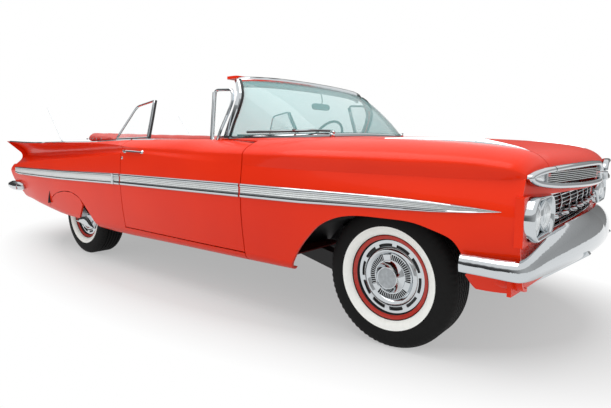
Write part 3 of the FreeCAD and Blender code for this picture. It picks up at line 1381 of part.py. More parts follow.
grip = cell("grip_radius")
wheel_radius = cell("wheel_radius")
wheel_plane = wheel_centre + column_axis * .83 * grip
hub = rod(tuple(wheel_centre - column_axis * hub_depth), tuple(wheel_centre + column_axis * 1.17 * grip),
          1.6 * column_radius)
wheel_ring = Part.makeTorus(wheel_radius, grip, wheel_plane, column_axis)
arms = [rod(tuple(wheel_centre), tuple(wheel_plane + V(side * (wheel_radius - grip / 3), 0, 0)), .83 * grip)
        for side in (1, -1)]
add("steering_wheel", fused([hub, wheel_ring] + arms))

# Seats and the folded top under its cover
bench_half = .69 * half
bench_low = (floor_top + 3 * sheet_wall) / belt
bench_shares = [(-.14, bench_low), (-.152, .45), (-.136, .49), (.024, .455), (.036, bench_low)]
bench_back_shares = [(.024, .455), (.07, .905), (.086, .925), (.108, .905), (.096, .48), (.036, bench_low)]
leg_shares = (-.6, -.2, .2, .6)
leg_half = 2 * sheet_wall
bench = [side_prism(bench_shares, -bench_half, bench_half), side_prism(bench_back_shares, -bench_half,
                                                                       bench_half)]
for share in leg_shares:
    bench.append(box((share * half - leg_half, -.12 * reach, floor_top + seat_gap),
                     (share * half + leg_half, .024 * reach, bench_low * belt + sheet_wall / 10)))
over_tunnel = box((-tunnel_half - 2 * sheet_wall, -overrun, rail_high),
                  (tunnel_half + 2 * sheet_wall, overrun,
                                                                          tunnel_top + 1.2 * sheet_wall))
add("front_seat", fused(bench).cut([over_tunnel]))
rear_bench_half = .6 * half
rear_low = (pan_top + seat_gap) / belt
rear_base_shares = [(.2832, rear_low), (.224, .56), (.2192, .63), (.236, .655), (.36, .6), (.36, rear_low)]
rear_back_shares = [(.36, rear_low), (.36, .6), (.394, 1.03), (.41, 1.045), (.4248, 1.02), (.418, .905),
                    (.396, .545),
                    (.394, rear_low)]
rear_bench = [side_prism(shares, -rear_bench_half, rear_bench_half) for shares in (rear_base_shares,
                                                                                   rear_back_shares)]
add("rear_seat", fused(rear_bench).cut([floor, deck]))
boot_shares = [(.88, .28), (.88, .4), (.8, .532), (.6, .56), (0, .568), (-.6, .56), (-.8, .532), (-.88, .4),
               (-.88, .28), (-.64, .28), (-.64, .432), (.64, .432), (.64, .28)]
boot = prism([V(x, y, ledge_top) for x, y in plan(boot_shares)], V(0, 0, cell("boot_depth")))
add("top_boot", largest(boot.cut([quarter, mirrored(quarter), deck, floor])))

# Antennas that lean back on the rear quarters
antenna_shares = [(.764, .7132, .965), (.764, .84, 1.3)]
antenna_foot, antenna_tip = spots(antenna_shares)
lean = (antenna_tip - antenna_foot).normalize()
antenna_rod = cell("antenna_rod")
antenna = fused([rod(tuple(antenna_foot), tuple(antenna_tip), antenna_rod),
                 rod(tuple(antenna_foot - lean * 3 * antenna_rod),
                     tuple(antenna_foot + lean * 3 * antenna_rod),
                     4.6 * antenna_rod)])
add("antennas", both(largest(antenna.cut([quarter]))))

doc.recompute()
for node in nodes:
    problems = [state for state in node.State if state in ("Invalid", "Error")]
    if problems or node.Shape.isNull() or not node.Shape.isValid():
        raise RuntimeError(node.Label + " did not build: " + ", ".join(problems))
for node in nodes:
    print(node.Label, len(node.Shape.Solids), round(node.Shape.Volume / 1e6, 2), node.Shape.BoundBox)
    node.Shape.exportStep("parts/" + node.Label + ".step")
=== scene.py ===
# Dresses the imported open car: paint, bright work, glass, wheels, trim and cabin.
import json
import math

import bmesh
import bpy
import numpy as np
from mathutils import Matrix, Vector
from mathutils.bvhtree import BVHTree


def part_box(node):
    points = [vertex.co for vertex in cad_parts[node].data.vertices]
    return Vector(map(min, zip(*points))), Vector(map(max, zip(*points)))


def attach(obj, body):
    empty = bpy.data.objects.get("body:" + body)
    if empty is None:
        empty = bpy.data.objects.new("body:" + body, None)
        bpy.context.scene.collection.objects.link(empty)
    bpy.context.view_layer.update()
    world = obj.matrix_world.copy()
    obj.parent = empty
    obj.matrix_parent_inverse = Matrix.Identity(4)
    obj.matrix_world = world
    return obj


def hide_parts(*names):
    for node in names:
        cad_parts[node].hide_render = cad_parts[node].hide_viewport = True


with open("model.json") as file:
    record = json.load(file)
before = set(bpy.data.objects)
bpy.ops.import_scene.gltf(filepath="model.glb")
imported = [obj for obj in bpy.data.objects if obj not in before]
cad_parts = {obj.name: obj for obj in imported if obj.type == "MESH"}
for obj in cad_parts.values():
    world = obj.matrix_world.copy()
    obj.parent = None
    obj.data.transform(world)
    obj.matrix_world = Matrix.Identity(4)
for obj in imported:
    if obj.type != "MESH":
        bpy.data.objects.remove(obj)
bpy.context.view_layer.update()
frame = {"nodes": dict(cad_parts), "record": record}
nodes = frame["nodes"]
print("frame loaded", len(nodes), "nodes")

# The camera stands low beside the front wheel, turned towards the door.
photo = {"width": 611, "height": 408, "axisX": 318.24, "axisY": 182.49, "focal": 468.15}
stand = {"place": (-2.8049, -2.8809, 0.98296), "yaw": 52.162, "pitch": -4.798, "roll": 0.587}
sides = {"left": 1, "right": -1}


def link(name, data):
    thing = bpy.data.objects.new(name, data)
    bpy.context.scene.collection.objects.link(thing)
    return thing


def makeCamera():
    data = bpy.data.cameras.new("photoCamera")
    data.sensor_width = 36
    data.lens = photo["focal"] / photo["width"] * data.sensor_width
    data.shift_x = (photo["width"] / 2 - photo["axisX"]) / photo["width"]
    data.shift_y = (photo["axisY"] - photo["height"] / 2) / photo["width"]
    data.clip_end = 200
    yaw, pitch, roll = (math.radians(stand[word]) for word in ("yaw", "pitch", "roll"))
    ahead = Vector((math.cos(pitch) * math.sin(yaw), math.cos(pitch) * math.cos(yaw), math.sin(pitch)))
    level = ahead.cross(Vector((0, 0, 1))).normalized()
    upright = level.cross(ahead)
    right = math.cos(roll) * level + math.sin(roll) * upright
    up = math.cos(roll) * upright - math.sin(roll) * level
    camera = link("photoCamera", data)
    camera.matrix_world = Matrix((right, up, -ahead)).transposed().to_4x4()
    camera.location = stand["place"]
    bpy.context.scene.camera = camera


makeCamera()


def mathNode(operation, swap=False):
    # An operator that adds one Math node; swap puts the other value first.
    def apply(self, other):
        return self.math(operation, *((other, self) if swap else (self, other)))

    return apply


class Wire:
    # A socket of a finish; arithmetic on it adds Math nodes.
    def __init__(self, finish, socket):
        self.finish = finish
        self.socket = socket

    def math(self, operation, *values):
        return self.finish.node("ShaderNodeMath", {"operation": operation}, dict(enumerate(values)))

    def sine(self):
        return self.math("SINE", self)

    __add__ = __radd__ = mathNode("ADD")
    __mul__ = __rmul__ = mathNode("MULTIPLY")
    __truediv__, __rtruediv__ = mathNode("DIVIDE"), mathNode("DIVIDE", True)
    __pow__, __rpow__ = mathNode("POWER"), mathNode("POWER", True)
    __gt__, __lt__ = mathNode("GREATER_THAN"), mathNode("LESS_THAN")


class Finish:
    # One material. node() adds any node: its kind, its settings, the values or wires of its sockets.
    def __init__(self, name):
        self.material = bpy.data.materials.new(name)
        self.material.use_nodes = True
        self.tree = self.material.node_tree
        self.tree.nodes.clear()

    def node(self, kind, settings=None, values=None, output=0):
        new = self.tree.nodes.new(kind)
        for word, value in (settings or {}).items():
            if word == "stops":
                ramp = new.color_ramp
                for i, (place, shade) in enumerate(value):
                    stop = ramp.elements[i] if i < 2 else ramp.elements.new(place)
                    stop.position = place
                    stop.color = (*shade, 1)
            else:
                setattr(new, word, value)
        for key, value in (values or {}).items():
            if isinstance(value, Wire):
                self.tree.links.new(value.socket, new.inputs[key])
            else:
                new.inputs[key].default_value = value
        return Wire(self, new.outputs[output]) if len(new.outputs) else None

    def axis(self, index, source="Object"):
        place = self.node("ShaderNodeTexCoord", output=source)
        return self.node("ShaderNodeSeparateXYZ", values={0: place}, output=index)

    def noise(self, scale, detail):
        place = self.node("ShaderNodeTexCoord", output="Object")
        return self.node("ShaderNodeTexNoise", None, {"Vector": place, "Scale": scale, "Detail": detail})

    def blend(self, share, *pair):
        one, two = (shade if isinstance(shade, Wire) else (*shade, 1) for shade in pair)
        return self.node("ShaderNodeMix", {"data_type": "RGBA"}, {0: share, 6: one, 7: two}, output=2)

    def span(self, value, low, high, toLow=0.0, toHigh=1.0):
        return self.node("ShaderNodeMapRange", None, {0: value, 1: low, 2: high, 3: toLow, 4: toHigh})

    def grain(self, value, *shades):
        # Two shades, or two numbers, over the middle of a noise.
        return self.span(value, 0.3, 0.7, *shades) if len(np.shape(shades)) < 2 else self.blend(
            self.span(value, 0.3, 0.7), *shades)

    def bump(self, height, strength, distance):
        values = {"Height": height, "Strength": strength, "Distance": distance}
        return self.node("ShaderNodeBump", values=values)

    def rays(self):
        # One where the camera, a reflection or a view through glass looks on.
        words = ("Is Camera Ray", "Is Glossy Ray", "Is Transmission Ray")
        one, two, three = (self.node("ShaderNodeLightPath", output=word) for word in words)
        return one + two + three

    def finish(self, **values):
        words = {word.replace("_", " "): value for word, value in values.items()}
        if not isinstance(words["Base Color"], Wire):
            words["Base Color"] = (*words["Base Color"], 1)
        self.surface(self.node("ShaderNodeBsdfPrincipled", values=words))
        return self.material

    def surface(self, shader):
        self.node("ShaderNodeOutputMaterial", values={"Surface": shader})


def bodyPaint():
    f = Finish("bodyPaint")
    cloud, flake = f.noise(1.6, 2), f.noise(900, 1)
    return f.finish(Base_Color=f.grain(cloud, (0.76, 0.026, 0.001), (0.7, 0.021, 0.001)),
                    Roughness=f.grain(flake, 0.3, 0.38), Specular_IOR_Level=0.1, Coat_Weight=0.2,
                    Coat_Roughness=0.04, Normal=f.bump(flake, 0.02, 0.0002))


def chromePlate(name, colour, rough):
    f = Finish(name)
    haze = f.span(f.noise(14, 3), 0.35, 0.75, rough, rough + 0.05)
    return f.finish(Base_Color=colour, Metallic=1.0, Roughness=haze)


def dullPaint(name, colour, rough=0.55, metal=0.0, deep=0.75, shine=0.5):
    # Deep is the share of the colour in the grain's dark spots.
    f = Finish(name)
    grain = f.noise(60, 4)
    dark = tuple(part * deep for part in colour)
    return f.finish(Base_Color=f.grain(grain, dark, colour), Roughness=rough, Metallic=metal,
                    Specular_IOR_Level=shine, Normal=f.bump(grain, 0.08, 0.0005))


def clearGlass(name, colour, alpha):
    f = Finish(name)
    haze = f.grain(f.noise(3, 2), alpha, alpha + 0.03)
    return f.finish(Base_Color=colour, Roughness=0.02, Alpha=haze, IOR=1.5)


def seatCloth():
    # Woven stripes of two greys that run along the car, with a red thread.
    f = Finish("seatCloth")
    stripe = (f.axis(0) * 160.0).sine()
    fine = (f.axis(0) * 900.0).sine() * (f.axis(1) * 900.0 + f.axis(2) * 900.0).sine()
    grey = f.blend(f.span(stripe, -1.0, 1.0), (0.24, 0.25, 0.25), (0.5, 0.52, 0.52))
    colour = f.blend(stripe > 0.93, grey, (0.4, 0.03, 0.02))
    return f.finish(Base_Color=colour, Roughness=0.7, Normal=f.bump(fine, 0.3, 0.0006))


def softHide(name, colour, rough):
    # Vinyl hide: fine pebbles and slow shade changes.
    f = Finish(name)
    pebble, shade = f.noise(420, 2), f.noise(6, 3)
    dark = tuple(part * 0.78 for part in colour)
    return f.finish(Base_Color=f.grain(shade, dark, colour), Roughness=f.grain(pebble, rough, rough + 0.12),
                    Normal=f.bump(pebble, 0.12, 0.0006))


def lampGlass():
    f = Finish("lampGlass")
    flute, bands = (f.axis(0) * 520.0).sine(), (f.axis(2) * 90.0).sine()
    # Besides their bumps, the flutes and bands are painted light and dark into the colour: painted glints of
    # the fluted glass.
    shade = f.blend(f.span(flute * 0.5 + bands * 0.5, -1.0, 1.0), (0.42, 0.46, 0.48), (0.86, 0.9, 0.92))
    return f.finish(Base_Color=shade, Metallic=0.35, Roughness=0.12, Coat_Weight=1.0, Coat_Roughness=0.02,
                    Normal=f.bump(flute + bands, 0.4, 0.001))


# Finishes by the function that makes them: name, colour, then that function's other values.
coats = {
    chromePlate: [("chrome", (0.58, 0.61, 0.63), 0.05), ("mirrorBack", (0.32, 0.45, 0.45), 0.2),
                  ("headerMetal", (0.36, 0.37, 0.38), 0.22)],
    clearGlass: [("clearGlass", (0.26, 0.52, 0.52), 0.34), ("sideGlass", (0.85, 0.93, 0.92), 0.08)],
    softHide: [("redLeather", (0.45, 0.03, 0.02), 0.4), ("bootVinyl", (0.56, 0.06, 0.045), 0.36),
               ("wheelPlastic", (0.09, 0.012, 0.01), 0.25), ("matRed", (0.2, 0.02, 0.016), 0.7),
               ("visorGrey", (0.17, 0.18, 0.18), 0.5)],
    dullPaint: [("frameBlack", (0.02, 0.02, 0.022)), ("castMetal", (0.12, 0.12, 0.125), 0.5, 0.6),
                ("tyreRubber", (0.008, 0.008, 0.008), 0.7, 0.0, 0.75, 0.18),
                ("redLens", (0.4, 0.01, 0.01), 0.2), ("backupLens", (0.75, 0.76, 0.76), 0.15, 0.0, 0.9),
                ("rubber", (0.012, 0.012, 0.013), 0.5), ("whitewall", (0.93, 0.94, 0.9), 0.6, 0.0, 0.95),
                # The near-black finish is the dials' own black faces, and painted shade inside the wheel
                # cover's slots and grooves, the intakes and behind the grille.
                ("wheelRed", (0.5, 0.025, 0.012), 0.3), ("slotBlack", (0.008, 0.008, 0.009), 0.5),
                ("hubGrey", (0.42, 0.45, 0.47), 0.35, 0.5), ("insertDark", (0.2, 0.21, 0.215), 0.4, 0.3),
                ("insert", (0.74, 0.77, 0.77), 0.35, 0.35, 0.92),
                ("brightPanel", (0.82, 0.84, 0.84), 0.3, 0.4, 0.95)],
}
finishes = {"paint": bodyPaint(), "seatCloth": seatCloth(), "lampGlass": lampGlass()}
for maker, rows in coats.items():
    for row in rows:
        finishes[row[0]] = maker(*row)
slotFinish = {
    "red_paint": "paint", "chrome": "chrome", "clear_glass": "clearGlass", "lamp_glass": "chrome",
    "red_lens": "redLens", "tyre": "tyreRubber", "wheel_chrome": "chrome", "frame_black": "frameBlack",
    "cast_metal": "castMetal", "tank_metal": "frameBlack", "seat_leather": "redLeather",
    "boot_cover": "redLeather", "steering_plastic": "redLeather",
}
for part in frame["record"]["subparts"]:
    mesh = nodes[part["node"]].data
    mesh.materials.clear()
    mesh.materials.append(finishes[slotFinish[part["material_slot"]]])
print("finishes made")


def unit(values):
    # Each vector over its own length.
    return values / np.maximum(np.linalg.norm(values, axis=-1, keepdims=True), 1e-12)


def gridFaces(rows, columns, closeRows=False, closeColumns=False):
    # Quads between neighbours of a grid whose points are numbered row by row.
    r, c = np.meshgrid(np.arange(rows if closeRows else rows - 1),
                       np.arange(columns if closeColumns else columns - 1), indexing="ij")
    down, beside = (r + 1) % rows * columns, (c + 1) % columns
    return np.stack((r * columns + c, r * columns + beside, down + beside, down + c), -1).reshape(-1, 4)


def circle(radius, count=12):
    # Radius times the cosine and the sine of equal turns.
    turn = np.linspace(0, 2 * math.pi, count, endpoint=False)
    return np.stack((np.cos(turn) * radius, np.sin(turn) * radius), -1)


def mm(*points):
    # An outline given in millimetres.
    return np.array(points) / 1000


def even(*half):
    # An outline from its one half, given from the foot to the top; the other half is its mirror image.
    return [(-u, v) for u, v in half] + [(u, v) for u, v in half[::-1]]


def curve(points, count, closed=False):
    # Catmull-Rom: each stretch is the cubic through its ends whose slopes are half the neighbours' distance.
    points = np.asarray(points, float)
    size = len(points)
    place = np.linspace(0, size if closed else size - 1, count, endpoint=not closed)
    k = np.minimum(place.astype(int), size - (1 if closed else 2))
    t = (place - k)[:, None]
    pick = [(k + i) % size if closed else np.clip(k + i, 0, size - 1) for i in (-1, 0, 1, 2)]
    a, b, c, d = (points[i] for i in pick)
    square, cube = 2 * a - 5 * b + 4 * c - d, 3 * b - 3 * c + d - a
    return 0.5 * (2 * b + (c - a) * t + square * t ** 2 + cube * t ** 3)


def dress(thing, body, replaces=()):
    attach(thing, body)
    if replaces:
        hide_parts(*replaces)
    return thing


class Shape:
    # Gathers closed solids, each with its finish, into one piece.
    def __init__(self):
        self.points, self.faces, self.picks, self.coats = [], [], [], []

    def add(self, points, faces, coat):
        # Takes one finish, or one for each face.
        start = len(self.points)
        self.points += np.asarray(points, float).reshape(-1, 3).tolist()
        for face, word in zip(faces, [coat] * len(faces) if isinstance(coat, str) else coat):
            if word not in self.coats:
                self.coats.append(word)
            self.faces.append([start + int(i) for i in face])
            self.picks.append(self.coats.index(word))

    def stack(self, rings, coat, closed=False):
        # A skin over rings of equal size; its ends are flat, or meet where it is closed.
        count, size = np.shape(rings)[:2]
        faces = gridFaces(count, size, closed, True).tolist()
        if not closed:
            faces += [list(range(size)), [(count - 1) * size + i for i in range(size)]]
        self.add(rings, faces, coat)

    def sweep(self, path, outline, coat="chrome", up=(0, 0, 1), grow=1, closed=False):
        # Each ring is path + side * u + up * v, with side = direction of travel x up.
        path, outline = np.asarray(path, float), np.asarray(outline, float)
        along = np.roll(path, -1, 0) - np.roll(path, 1, 0) if closed else np.gradient(path, axis=0)
        side = unit(np.cross(unit(along), np.broadcast_to(np.asarray(up, float), path.shape)))
        ups = unit(np.cross(side, along))
        grow = np.ones((len(path), 2)) * np.asarray(grow, float).reshape(-1, 1 if np.ndim(grow) < 2 else 2)
        self.stack(path[:, None] + side[:, None] * (outline[:, 0] * grow[:, :1])[..., None]
                   + ups[:, None] * (outline[:, 1] * grow[:, 1:])[..., None], coat, closed)

    def rod(self, start, end, radius, coat, count=12):
        # A circle swept straight from start to end.
        start, end = np.asarray(start, float), np.asarray(end, float)
        up = (0, 0, 1) if abs(unit(end - start)[2]) < 0.9 else (1, 0, 0)
        self.sweep([start, end], circle(radius, count), coat, up)

    def lathe(self, centre, axis, outline, coat="chrome", steps=48):
        # The outline holds radius and place along the axis, and turns once round it.
        axis = unit(np.asarray(axis, float))
        one = unit(np.cross(axis, (0, 0, 1) if abs(axis[2]) < 0.9 else (1, 0, 0)))
        turn = np.linspace(0, 2 * math.pi, steps, endpoint=False)[:, None, None]
        radius, along = np.asarray(outline, float).T
        spread = np.cos(turn) * one + np.sin(turn) * np.cross(axis, one)
        places = np.asarray(centre) + spread * radius[None, :, None] + along[None, :, None] * axis
        self.stack(places, coat, True)

    def box(self, one, two, coat, bevel=0.0):
        # Opposite corners in any order; the bevel cuts the upright edges.
        (x0, y0, z0), (x1, y1, z1) = np.minimum(one, two), np.maximum(one, two)
        ring = [(x0, y0), (x1, y0), (x1, y1), (x0, y1)]
        if bevel:
            ring = [(x0 + bevel, y0), (x1 - bevel, y0), (x1, y0 + bevel), (x1, y1 - bevel),
                    (x1 - bevel, y1), (x0 + bevel, y1), (x0, y1 - bevel), (x0, y0 + bevel)]
        self.stack([[(x, y, z) for x, y in ring] for z in (z0, z1)], coat)

    def slab(self, outer, inner, coat):
        # Two grids of points, one wall; coat may name a finish for each column of the outer grid.
        rows, columns = outer.shape[:2]
        front = gridFaces(rows, columns)
        number = np.arange(rows * columns).reshape(rows, columns)
        edge = np.concatenate((number[0], number[1:, -1], number[-1, -2::-1], number[-2::-1, 0]))
        rim = [(a, b, b + number.size, a + number.size) for a, b in zip(edge, edge[1:])]
        words = [coat] * (columns - 1) if isinstance(coat, str) else list(coat)
        picks = words * (len(front) // (columns - 1)) + [words[0]] * (len(front) + len(rim))
        self.add(np.concatenate((outer.reshape(-1, 3), inner.reshape(-1, 3))),
                 front.tolist() + (front[:, ::-1] + number.size).tolist() + rim, picks)

    def flip(self):
        # Moves it to the car's other side.
        self.points = (np.asarray(self.points) * (-1, 1, 1)).tolist()

    def mirror(self):
        # The same again on the car's other side.
        words = [self.coats[i] for i in self.picks]
        self.add(np.asarray(self.points) * (-1, 1, 1), list(self.faces), words)

    def piece(self, name, body="car_body", slot="chrome", replaces=(), sharp=38):
        mesh = bpy.data.meshes.new(name)
        mesh.from_pydata(self.points, [], self.faces)
        for word in self.coats:
            mesh.materials.append(finishes[word])
        mesh.polygons.foreach_set("material_index", self.picks)
        shell = bmesh.new()
        shell.from_mesh(mesh)
        bmesh.ops.remove_doubles(shell, verts=shell.verts, dist=1e-6)
        bmesh.ops.dissolve_degenerate(shell, edges=shell.edges, dist=1e-7)
        bmesh.ops.recalc_face_normals(shell, faces=shell.faces)
        shell.to_mesh(mesh)
        shell.free()
        mesh.polygons.foreach_set("use_smooth", [True] * len(mesh.polygons))
        mesh.set_sharp_from_angle(angle=math.radians(sharp))
        return dress(link(name, mesh), body, replaces)


class Skin:
    # The outside of some CAD nodes, to seat trim on.
    def __init__(self, *words):
        points, faces = [], []
        for word in words:
            start = len(points)
            mesh = nodes[word].data
            points += [corner.co for corner in mesh.vertices]
            faces += [[start + i for i in face.vertices] for face in mesh.polygons]
        self.tree = BVHTree.FromPolygons(points, faces)

    def hit(self, start, way):
        return self.tree.ray_cast(Vector(start), Vector(way))[0]

    def side(self, y, z, way, low=0.0, other=None):
        # Where a level line from outside meets the skin, as its distance from the car's middle.
        found = self.hit((way * 1.4, y, z), (-way, 0, 0))
        return other if found is None or found.x * way < low else found.x * way

    def top(self, x, y):
        found = self.hit((x, y, 1.6), (0, 0, -1))
        return None if found is None else found.z


def bodyOf(panel, word):
    return "door_" + word if panel == "door" else "car_body"


def colourRows(groups):
    # Rows of numbers, each with the finish of its group at its end.
    return [(*row, word) for word, rows in groups for row in rows]


# The wall's rows are half of the section, from the bead over the sidewall: place, radius, notch share.
tyre = {"steps": 288, "rib": 0.026, "ribs": 2, "groove": 0.0035, "lip": 0.0052, "depth": 0.007,
        "zigzag": 0.0026, "waves": 72, "notch": 0.003, "whiteLow": 0.208, "whiteHigh": 0.25,
        "wall": [(0.062, 0.186, 0), (0.0668, 0.198, 0), (0.0708, 0.2062, 0), (0.082, 0.208, 0),
                 (0.092, 0.2135, 0), (0.1, 0.225, 0), (0.1042, 0.239, 0), (0.1052, 0.25, 0),
                 (0.1059, 0.2515, 0), (0.106, 0.268, 0), (0.1045, 0.288, 0), (0.1005, 0.306, 0),
                 (0.096, 0.318, 0.4), (0.0905, 0.328, 1), (0.083, 0.3358, 1)]}
# The wheel's section from its middle outwards and back inside: radius, place and share of the arms' lift.
cover = {"steps": 240, "slots": 10, "slotShare": 0.68, "slotDepth": 0.006, "ribs": 60, "ribDepth": 0.006,
         "arms": 3, "armShare": 0.2, "armLift": 0.004, "section": [
             ("hubGrey", [(0, 0.0965, 0), (0.03, 0.0962, 0), (0.0465, 0.095, 0)]),
             ("chrome", [(0.049, 0.0965, 0), (0.0525, 0.0965, 0), (0.055, 0.0925, 0), (0.06, 0.084, 0),
                         (0.072, 0.071, 0), (0.079, 0.066, 0.4), (0.083, 0.0665, 1)]),
             ("ribs", [(0.0845, 0.0665, 1), (0.1075, 0.064, 1)]),
             ("chrome", [(0.109, 0.064, 1), (0.113, 0.0615, 0.4), (0.118, 0.0665, 0), (0.125, 0.0715, 0),
                         (0.132, 0.0715, 0), (0.139, 0.067, 0), (0.144, 0.061, 0), (0.1485, 0.0595, 0)]),
             ("slots", [(0.15, 0.0595, 0), (0.1605, 0.0585, 0)]),
             ("chrome", [(0.162, 0.0585, 0), (0.17, 0.061, 0), (0.178, 0.0605, 0), (0.184, 0.0555, 0),
                         (0.1862, 0.05, 0)]),
             ("wheelRed", [(0.187, 0.0545, 0), (0.191, 0.063, 0), (0.197, 0.068, 0), (0.203, 0.0725, 0),
                           (0.2045, 0.0775, 0), (0.2025, 0.08, 0), (0.199, 0.0772, 0)]),
             ("frameBlack", [(0.1845, 0.0725, 0), (0.1835, 0.03, 0), (0.165, 0.015, 0), (0.165, -0.035, 0),
                             (0.1835, -0.045, 0), (0.1845, -0.072, 0), (0.199, -0.0755, 0),
                             (0.196, -0.0762, 0), (0.179, -0.073, 0), (0.177, -0.047, 0),
                             (0.1585, -0.034, 0), (0.1585, 0.012, 0), (0.13, 0.034, 0), (0.075, 0.04, 0),
                             (0.06, 0.022, 0), (0.034, 0.022, 0), (0.034, 0.072, 0), (0, 0.072, 0)])]}


def turnWheel(name, corner, radius, along, words, slot, node):
    # Turns a section round the axle: radius and place along the axle for each step and column.
    low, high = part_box("tyre_" + corner)
    centre, (steps, size) = (low + high) / 2, radius.shape
    turn = np.linspace(0, 2 * math.pi, steps, endpoint=False)[:, None]
    shape = Shape()
    shape.add(np.stack((centre[0] + along, centre[1] + radius * np.sin(turn),
                        centre[2] + radius * np.cos(turn)), -1),
              gridFaces(steps, size, True, True), words)
    shape.piece(name + corner.title().replace("_", ""), "wheel_" + corner, slot, [node + corner], 30)


def makeTyre(corner, side):
    # The wall's rows, four rows for each groove's lips and floor, and the wall's rows mirrored. Grooves
    # swing from side to side as a triangle wave, and the shoulder sinks at every other pair of steps.
    low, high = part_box("tyre_" + corner)
    reach = (high.z - low.z) / 2
    half = tyre["wall"] + [(0.074, reach - 0.0025, 0.3), (0.068, reach, 0)]
    rows = [(*row, 0) for row in half]
    for k in range(tyre["ribs"], -tyre["ribs"] - 1, -1):
        mid = k * tyre["rib"]
        lip, groove, floor = tyre["lip"], tyre["groove"], reach - tyre["depth"]
        rows += [(mid + lip, reach, 0, 1), (mid + groove, floor, 0, 1), (mid - groove, floor, 0, 1),
                 (mid - lip, reach, 0, 1)]
    rows += [(-place, *row, 0) for place, *row in half[::-1]]
    along, radius, notch, zig = np.asarray(rows).T
    step = np.arange(tyre["steps"])[:, None]
    wave = abs((step * tyre["waves"] / tyre["steps"]) % 1 - 0.5) * 4 - 1
    radius = radius - notch * tyre["notch"] * (step % 4 < 2)
    middle = (radius[0] + np.roll(radius[0], -1)) / 2
    white = (middle > tyre["whiteLow"]) & (middle < tyre["whiteHigh"])
    # Only the outer wall carries the white band.
    words = ["whitewall" if shown and k < len(half) - 1 else "tyreRubber" for k, shown in enumerate(white)]
    along = side * (along + zig * wave * tyre["zigzag"])
    turnWheel("tyre", corner, radius, along, words * tyre["steps"], "tyre", "tyre_")


def makeCover(corner, side):
    # The section stands further in at slots and ribs and further out on the arms.
    rows = colourRows(cover["section"])
    radius, along, arm = np.asarray([row[:3] for row in rows]).T
    slot, rib = (np.array([row[3] == word for row in rows]) for word in ("slots", "ribs"))
    share = np.arange(cover["steps"])[:, None] / cover["steps"]
    inSlot = (share * cover["slots"]) % 1 < cover["slotShare"]
    onArm = (share * cover["arms"]) % 1 < cover["armShare"]
    inRib = ((share * cover["ribs"]) % 1 < 0.5) & ~onArm
    dip = slot * inSlot * cover["slotDepth"] + rib * inRib * cover["ribDepth"]
    dip = dip - arm * onArm * cover["armLift"]
    words = []
    # Slot floors and the grooves between ribs are coloured near-black: painted shade in these shallow
    # recesses.
    for s, r in zip(inSlot[:, 0], inRib[:, 0]):
        swap = {"slots": "slotBlack" if s else "chrome", "ribs": "slotBlack" if r else "chrome"}
        words += [swap.get(row[3], row[3]) for row in rows]
    radius = np.broadcast_to(radius, dip.shape)
    turnWheel("cover", corner, radius, side * (along - dip), words, "wheel_chrome", "rim_")


for end in ("front", "rear"):
    for word, way in sides.items():
        makeTyre(end + "_" + word, way)
        makeCover(end + "_" + word, way)
print("wheels made")


# Side moulding: heights of its upper and lower edges along the car, from the pointed front tip backwards.
trim = {"high": [(-2.352, 0.73), (-2.234, 0.74), (-2.066, 0.749), (-1.843, 0.754), (-0.918, 0.753),
                 (0.41, 0.747), (1.325, 0.731), (2.393, 0.719)],
        "low": [(-2.352, 0.7285), (-2.235, 0.714), (-2.067, 0.701), (-1.844, 0.694), (-1.363, 0.677),
                (-0.917, 0.673), (0.414, 0.663), (1.331, 0.649), (2.29, 0.6475), (2.393, 0.66)],
        "spans": {"fender": (-2.35, -0.9245), "door": (-0.9115, 0.3475), "quarter": (0.3615, 2.38)},
        "insertEnd": 0.45, "relief": 0.009, "step": 0.02, "under": 0.0045, "full": 0.03, "skin": 0.97}
# Shares of the height and of the relief: a rounded lower edge, a ribbed insert and a rounded upper edge.
ribPlaces = (0.31, 0.35, 0.38, 0.42, 0.45, 0.48, 0.51, 0.55, 0.58, 0.61, 0.64, 0.68, 0.71, 0.74)
ribSteps = [(0.4, "insertDark"), (0.4, "insert"), (0.62, "insert"), (0.62, "insert")]
trimRows = (colourRows([("chrome", [(0, 0), (0.03, 0.55), (0.1, 0.95), (0.2, 1), (0.29, 0.75)])])
            + [(share, *ribSteps[i % 4]) for i, share in enumerate(ribPlaces)]
            + colourRows([("chrome", [(0.76, 0.75), (0.83, 1), (0.92, 0.9), (0.98, 0.5), (1, 0)])]))
plainRows = colourRows([("chrome", [(0, 0), (0.03, 0.55), (0.1, 0.95), (0.18, 1)]),
                        ("brightPanel", [(0.25, 0.8), (0.45, 0.86), (0.65, 0.86)]),
                        ("insertDark", [(0.78, 0.8), (0.8, 0.55)]),
                        ("chrome", [(0.82, 0.8), (0.88, 1), (0.95, 0.85), (0.985, 0.5), (1, 0)])])


def trimEdges(y):
    # The moulding's lower and upper edge at a place along the car.
    return (np.interp(y, *zip(*trim[word])) for word in ("low", "high"))


def sideStrip(shape, skin, way, start, end, rows):
    # A wall on the body's side: place = skin + relief, with its back just under the skin.
    outer, inner = [], []
    last = trim["skin"]
    for y in np.linspace(start, end, max(6, int((end - start) / trim["step"]))):
        low, high = trimEdges(y)
        tall = min(1.0, (high - low) / trim["full"])
        for share, lift, _ in rows:
            z = low + (high - low) * share
            last = skin.side(y, z, way, 0.8, last)
            outer.append((way * (last + trim["relief"] * lift * tall + 0.0006), y, z))
            inner.append((way * (last - trim["under"]), y, z))
    outer, inner = (np.reshape(wall, (-1, len(rows), 3)) for wall in (outer, inner))
    shape.slab(outer, inner, [row[2] for row in rows[:-1]])


